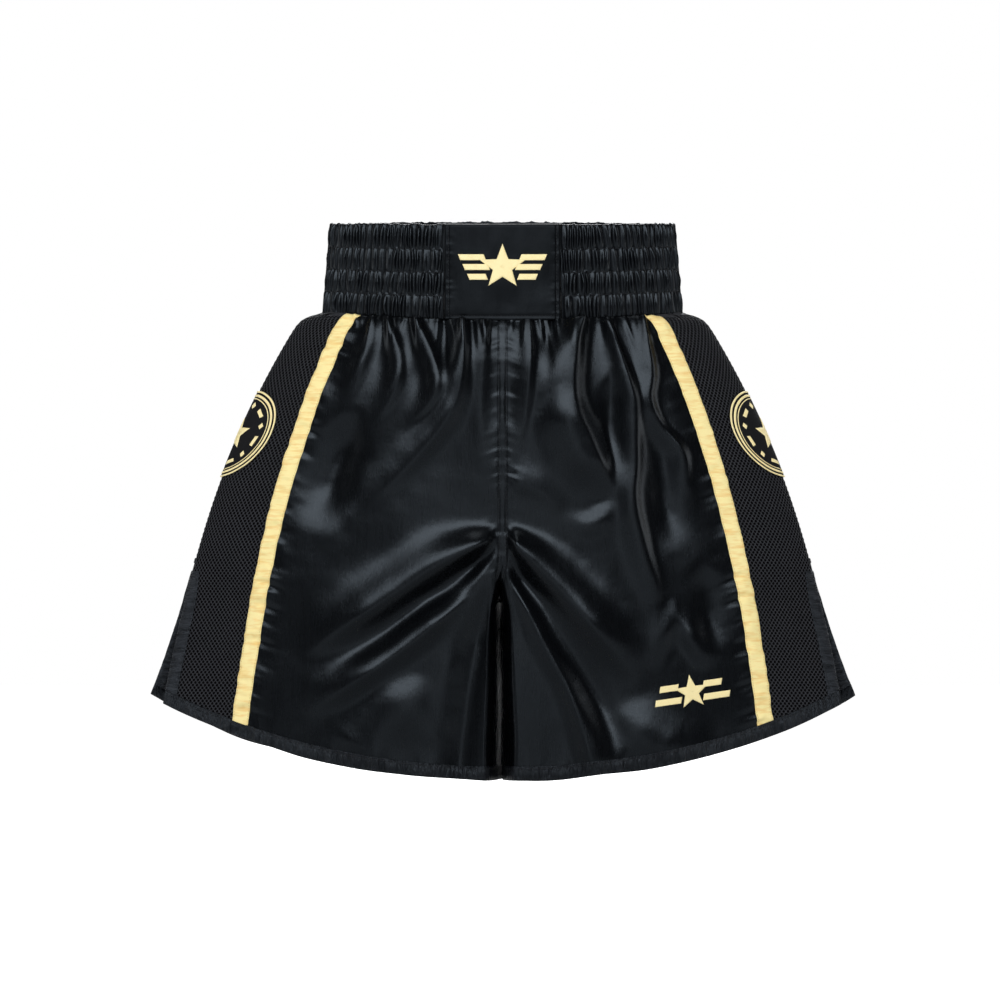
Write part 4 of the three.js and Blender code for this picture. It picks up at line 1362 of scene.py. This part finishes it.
def centre_point(x, depth, face, lift):
    """Points across the centre line, where the two satin panels meet."""
    x, depth = np.broadcast_arrays(np.asarray(x, float), np.asarray(depth, float))
    inner = inner_edge(depth)
    share = np.clip((np.abs(x) - inner) / (half_width(depth, face) - inner), 0, 1)
    left = cloth_point(share, depth, face, LEFT, lift)
    right = cloth_point(share, depth, face, RIGHT, lift)
    point = np.where((x >= 0)[..., None], left, right)
    point[..., 0] = np.where(np.abs(x) < inner, x, point[..., 0])
    return point


def make_centre_seam(face_name, face):
    """The overlapped seam, sewn down with two rows of stitches."""
    xs = np.linspace(-SEAM_HALF, SEAM_HALF, 17)
    depth = np.linspace(float(band_edge(0)) + 0.2, CROTCH_DEPTH - 22, 190)
    ripple = value_noise(xs[None, :] * 0.5, depth[:, None], 6.5, 111 + face)
    crown = 0.75 - 0.45 * bell(np.abs(xs) - 3.4, 0.8) - 0.35 * smoothstep(np.abs(xs), 4.3, 5.0)
    outer = centre_point(xs[None, :], depth[:, None], face, 0.15 + crown[None, :] + 0.22 * ripple)
    inner = centre_point(xs[None, :], depth[:, None], face, 0.08 + 0 * ripple)
    piece = shell(f"centre_seam_{face_name}", outer, inner, SATIN)
    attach(piece, "shorts")
    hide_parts(f"center_{face_name}_seam")
    paths = [centre_point(x, depth[2:-2], face, 0.75) for x in (-3.4, 3.4)]
    piece = stitches(f"centre_stitches_{face_name}", paths, BLACK_THREAD, 2.3, 3.0, 0.33)
    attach(piece, "shorts")


def make_inseam(side_name, side):
    """The strip inside each leg that covers the joint of its front and back panels."""
    low, high = box_mm(f"inseam_{side_name}")
    depth = np.linspace(-high[2], -low[2], 120)[:, None]
    ys = np.linspace(-SEAM_HALF, SEAM_HALF, 11)[None, :]
    wave = 0.25 * value_noise(ys * 0.4, depth, 7.0, 121 + side)
    sway = LEG_SWAY * smoothstep(leg_split(depth), 0, 0.5) * np.tanh(ys / 10)
    wall = side * (inner_edge(depth) + 1.35) + sway
    outer = np.stack(np.broadcast_arrays(wall + side * (0.75 + wave), ys, -depth), -1)
    inner = np.stack(np.broadcast_arrays(wall + 0 * wave, ys, -depth), -1)
    piece = shell(f"inseam_strip_{side_name}", outer, inner, SATIN)
    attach(piece, "shorts")
    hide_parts(f"inseam_{side_name}")
    declare_sheet(piece, inner)
    paths = [outer[2:-2, column] + np.array([side * 0.15, 0, 0]) for column in (2, 8)]
    piece = stitches(f"inseam_stitches_{side_name}", paths, BLACK_THREAD)
    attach(piece, "shorts")


# ---- Badges and emblems ----------------------------------------------------------------------------


def side_slope():
    """How far the side's edge runs outward for each millimetre down, at the badge."""
    step = 20.0
    wider = half_width(BADGE_DEPTH + step, FRONT) - half_width(BADGE_DEPTH - step, FRONT)
    return float(wider) / (2 * step)


def badge_point(across, down, side, lift):
    """A point of the badge, which is folded over the side. across is to the front."""
    slant = math.hypot(1, side_slope())
    return side_point(across, BADGE_DEPTH + np.asarray(down) / slant, FRONT, side, lift)


def make_badge_disc(side_name, side):
    rings = np.array([0.02, *range(3, 45, 3), 44, 45.5, 46.4, BADGE_RADIUS])
    turns = np.linspace(0, 2 * math.pi, 96, endpoint=False)
    layers = []
    edge = 0.9 * smoothstep(BADGE_RADIUS - rings, 0, 1.2)
    there_and_back = [*zip(rings, 0.35 + edge), *((radius, 0.15) for radius in rings[::-1])]
    for radius, lift in there_and_back:
        across, down = radius * np.sin(turns), -radius * np.cos(turns)
        layers.append(badge_point(across, down, side, lift + 0 * turns))
    piece = tube(f"badge_disc_{side_name}", np.stack(layers, 1), TWILL)
    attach(piece, "shorts")
    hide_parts(f"side_badge_{side_name}")


def ring_sections(radius, width, height, count, point):
    """A raised ring of close thread, as cross-sections round it."""
    turns = np.linspace(0, 2 * math.pi, count, endpoint=False)
    twist = 0.1 * np.cos(np.arange(count) * math.pi)
    loops = []
    for place, lift in ((-1, 0), (-0.8, 0.7), (-0.3, 1.0), (0.3, 1.0), (0.8, 0.7), (1, 0)):
        r = radius + place * width / 2
        loops.append(point(r * np.sin(turns), -r * np.cos(turns), 1.15 + lift * (height + twist)))
    return np.stack(loops, 1)


def fan_shape(outline, height, point):
    """A raised shape with a rounded edge, from an outline that its middle can see all of."""
    outline = np.asarray(outline, float)
    fine = []
    for a, b in zip(outline, np.roll(outline, -1, axis=0)):
        pieces = max(1, int(np.linalg.norm(b - a) / 2.0))
        fine.extend(a + (b - a) * t for t in np.linspace(0, 1, pieces, endpoint=False))
    fine = np.array(fine)
    middle = outline.mean(0)
    radii = (0.0, 0.25, 0.5, 0.72, 0.88, 0.97, 1.0)
    lifts = (1.0, 1.0, 1.0, 0.98, 0.85, 0.5, 0.0)
    loops = []
    for radius, lift in zip(radii, lifts):
        flat = middle + (fine - middle) * max(radius, 0.002)
        loops.append(point(flat[:, 0], flat[:, 1], 1.1 + lift * height))
    for radius in radii[::-1]:
        flat = middle + (fine - middle) * max(radius, 0.002)
        loops.append(point(flat[:, 0], flat[:, 1], 0.95))
    return np.stack(loops, 1)


def join_tubes(name, sections, material):
    points, faces, base = [], [], 0
    for section in sections:
        corners, ring = closed_band(section)
        points.append(corners)
        faces.extend((ring + base).tolist())
        base += len(corners)
    return make_mesh(name, np.vstack(points), faces, [material], clean=True)


def star_outline(radius, notch=0.42, turn=0.0):
    angles = np.arange(10) * math.pi / 5 + turn
    reach = np.where(np.arange(10) % 2 == 0, radius, radius * notch)
    return np.stack([reach * np.sin(angles), -reach * np.cos(angles)], -1)


def bar_outline(x0, x1, y, height, slant=0.0):
    half = height / 2
    return [(x0 + slant, y - half), (x1 + slant, y - half), (x1 - slant, y + half), (x0 - slant, y + half)]


def polar_bar(turn, radius, length, height):
    """A short bar laid round a circle."""
    spread = length / radius / 2
    corners = []
    for r, a in (
        (radius + height / 2, -spread), (radius + height / 2, spread),
        (radius - height / 2, spread), (radius - height / 2, -spread)
    ):
        corners.append((r * math.sin(turn + a), -r * math.cos(turn + a)))
    return corners


def make_badge_thread(side_name, side):
    def point(across, down, lift):
        return badge_point(across, down, side, lift)

    sections = [
        ring_sections(46.0, 2.0, 0.7, 300, point),
        ring_sections(41.8, 2.5, 0.6, 280, point),
        ring_sections(38.5, 1.0, 0.45, 260, point),
    ]
    sections.append(fan_shape(star_outline(19.0, 0.45), 0.8, point))
    for k in range(12):
        turn = (k + 0.5) * math.pi / 6
        middle = np.array([math.sin(turn), -math.cos(turn)]) * 31.5
        if k % 2:
            sections.append(fan_shape(polar_bar(turn, 31.5, 11.0, 4.0), 0.6, point))
        else:
            diamond = [middle + offset for offset in np.array([(0, -3.6), (3.0, 0), (0, 3.6), (-3.0, 0)])]
            sections.append(fan_shape(diamond, 0.6, point))
    piece = join_tubes(f"badge_embroidery_{side_name}", sections, GOLD_THREAD)
    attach(piece, "shorts")


def make_waist_emblem():
    """A star between wing-like bars, a plain motif of its own."""
    middle = 42.0

    def point(across, down, lift):
        depth = middle + np.asarray(down)
        return band_point(panel_angles(across, depth), depth, panel_lift(across, depth) - 1.0 + lift)

    sections = [fan_shape(star_outline(24.0, 0.42), 1.0, point)]
    for y, inner_x, outer_x in ((-10.0, 17.5, 43.0), (0.0, 13.5, 38.5), (10.0, 15.5, 34.0)):
        for sign in (-1, 1):
            ends = sorted((sign * inner_x, sign * outer_x))
            sections.append(fan_shape(bar_outline(ends[0], ends[1], y, 6.2, sign * 1.2), 0.9, point))
    piece = join_tubes("waist_emblem_thread", sections, GOLD_THREAD)
    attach(piece, "shorts")
    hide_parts("waist_emblem")


def make_leg_emblem():
    centre_x, centre_depth, tilt = 188.0, 466.0, -0.14

    def point(across, down, lift):
        across, down = np.asarray(across), np.asarray(down)
        x = centre_x + across * math.cos(tilt) - down * math.sin(tilt)
        depth = centre_depth + across * math.sin(tilt) + down * math.cos(tilt)
        inner = inner_edge(depth)
        share = (x - inner) / (half_width(depth, FRONT) - inner)
        return cloth_point(share, depth, FRONT, LEFT, lift - 0.9)

    sections = [fan_shape(star_outline(17.5, 0.42), 0.9, point)]
    for y, inner_x, outer_x in ((-6.5, 12.5, 31.0), (6.5, 11.0, 37.5)):
        for sign in (-1, 1):
            ends = sorted((sign * inner_x, sign * outer_x))
            sections.append(fan_shape(bar_outline(ends[0], ends[1], y, 6.4, 1.0), 0.8, point))
    piece = join_tubes("leg_emblem_thread", sections, GOLD_THREAD)
    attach(piece, "shorts")
    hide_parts("leg_emblem")


# ---- Stage -------------------------------------------------------------------------------------------


def make_floor():
    """A pale floor. It and the world look white, and light the shorts far less than they look."""
    half, height = 9000.0, -600.0
    points = [(-half, -half, height), (half, -half, height), (half, half, height), (-half, half, height)]
    m = Nodes("pale_floor")
    seen = m.add("ShaderNodeLightPath").outputs["Is Camera Ray"]
    grain = m.noise(3.0)
    m.colour(grain, (0.72, 0.72, 0.72), (0.75, 0.75, 0.75))
    m.link(seen, m.shader.inputs["Emission Strength"])
    material = m.finish(Roughness=0.95, Specular_IOR_Level=0.05, Emission_Color=(1, 1, 1, 1))
    make_mesh("pale_floor", points, [(0, 1, 2, 3)], [material])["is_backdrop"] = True


def make_world():
    world = bpy.data.worlds.new("studio")
    world.use_nodes = True
    tree = world.node_tree
    background = tree.nodes["Background"]
    background.inputs["Color"].default_value = (1, 1, 1, 1)
    seen = tree.nodes.new("ShaderNodeLightPath").outputs["Is Camera Ray"]
    strength = tree.nodes.new("ShaderNodeMapRange")
    strength.inputs["To Min"].default_value = 0.05
    strength.inputs["To Max"].default_value = 1.0
    tree.links.new(seen, strength.inputs["Value"])
    tree.links.new(strength.outputs["Result"], background.inputs["Strength"])
    bpy.context.scene.world = world


def softbox(name, location, target, width, height, power, tint=(1, 1, 1)):
    data = bpy.data.lights.new(name, "AREA")
    data.shape = "RECTANGLE"
    data.size, data.size_y = width, height
    data.energy = power
    data.color = tint
    light = bpy.data.objects.new(name, data)
    bpy.context.scene.collection.objects.link(light)
    light.location = location
    light.visible_camera = False
    direction = np.array(target, float) - np.array(location, float)
    light.rotation_euler = Vector(direction).to_track_quat("-Z", "Y").to_euler()


def make_lights():
    middle = (0, 0, -0.28)
    cool = (0.97, 0.985, 1.0)
    softbox("front_key", (-0.3, -3.2, 1.6), middle, 4.4, 1.6, 128, cool)
    softbox("front_fill", (-0.1, -4.0, -0.2), middle, 1.6, 2.0, 10, cool)
    softbox("top_box", (0, 0.1, 2.4), middle, 1.6, 1.6, 14)
    softbox("left_box", (-3.2, 0.2, 0.1), middle, 1.4, 2.0, 18)
    softbox("right_box", (3.2, 0.2, 0.1), middle, 1.4, 2.0, 16)
    softbox("back_key", (0.3, 3.2, 1.6), middle, 4.4, 1.6, 128, cool)
    softbox("back_fill", (0.1, 4.0, -0.2), middle, 1.6, 2.0, 10, cool)


def make_camera():
    distance, span, sensor = 12.0, 1.0, 36.0
    data = bpy.data.cameras.new("front_camera")
    data.sensor_width = sensor
    data.lens = sensor * distance / span
    data.clip_end = 100
    camera = bpy.data.objects.new("front_camera", data)
    bpy.context.scene.collection.objects.link(camera)
    camera.location = (-0.0025, -distance, -0.275)
    camera.rotation_euler = (math.pi / 2, 0, 0)
    bpy.context.scene.camera = camera
    bpy.context.scene.view_settings.view_transform = "Standard"


def write_sizes():
    boxes = {"cad": cad_box, "visual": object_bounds()}
    plain = {name: [[float(v) for v in corner] for corner in box] for name, box in boxes.items()}


make_elastics()
make_waistband()
make_band_lining()
make_center_panel()
make_label()
for face_name, face in FACES:
    make_centre_seam(face_name, face)
    for side_name, side in SIDES:
        make_satin_panel(face_name, face, side_name, side)
        make_ribbon(face_name, face, side_name, side)
        make_mesh_panel(face_name, face, side_name, side)
        make_hem(face_name, face, side_name, side)
        make_facing(face_name, face, side_name, side)
for side_name, side in SIDES:
    make_inseam(side_name, side)
    make_bar_tack(side_name, side)
    make_badge_disc(side_name, side)
    make_badge_thread(side_name, side)
make_waist_emblem()
make_leg_emblem()
make_floor()
make_world()
make_lights()
make_camera()
write_sizes()
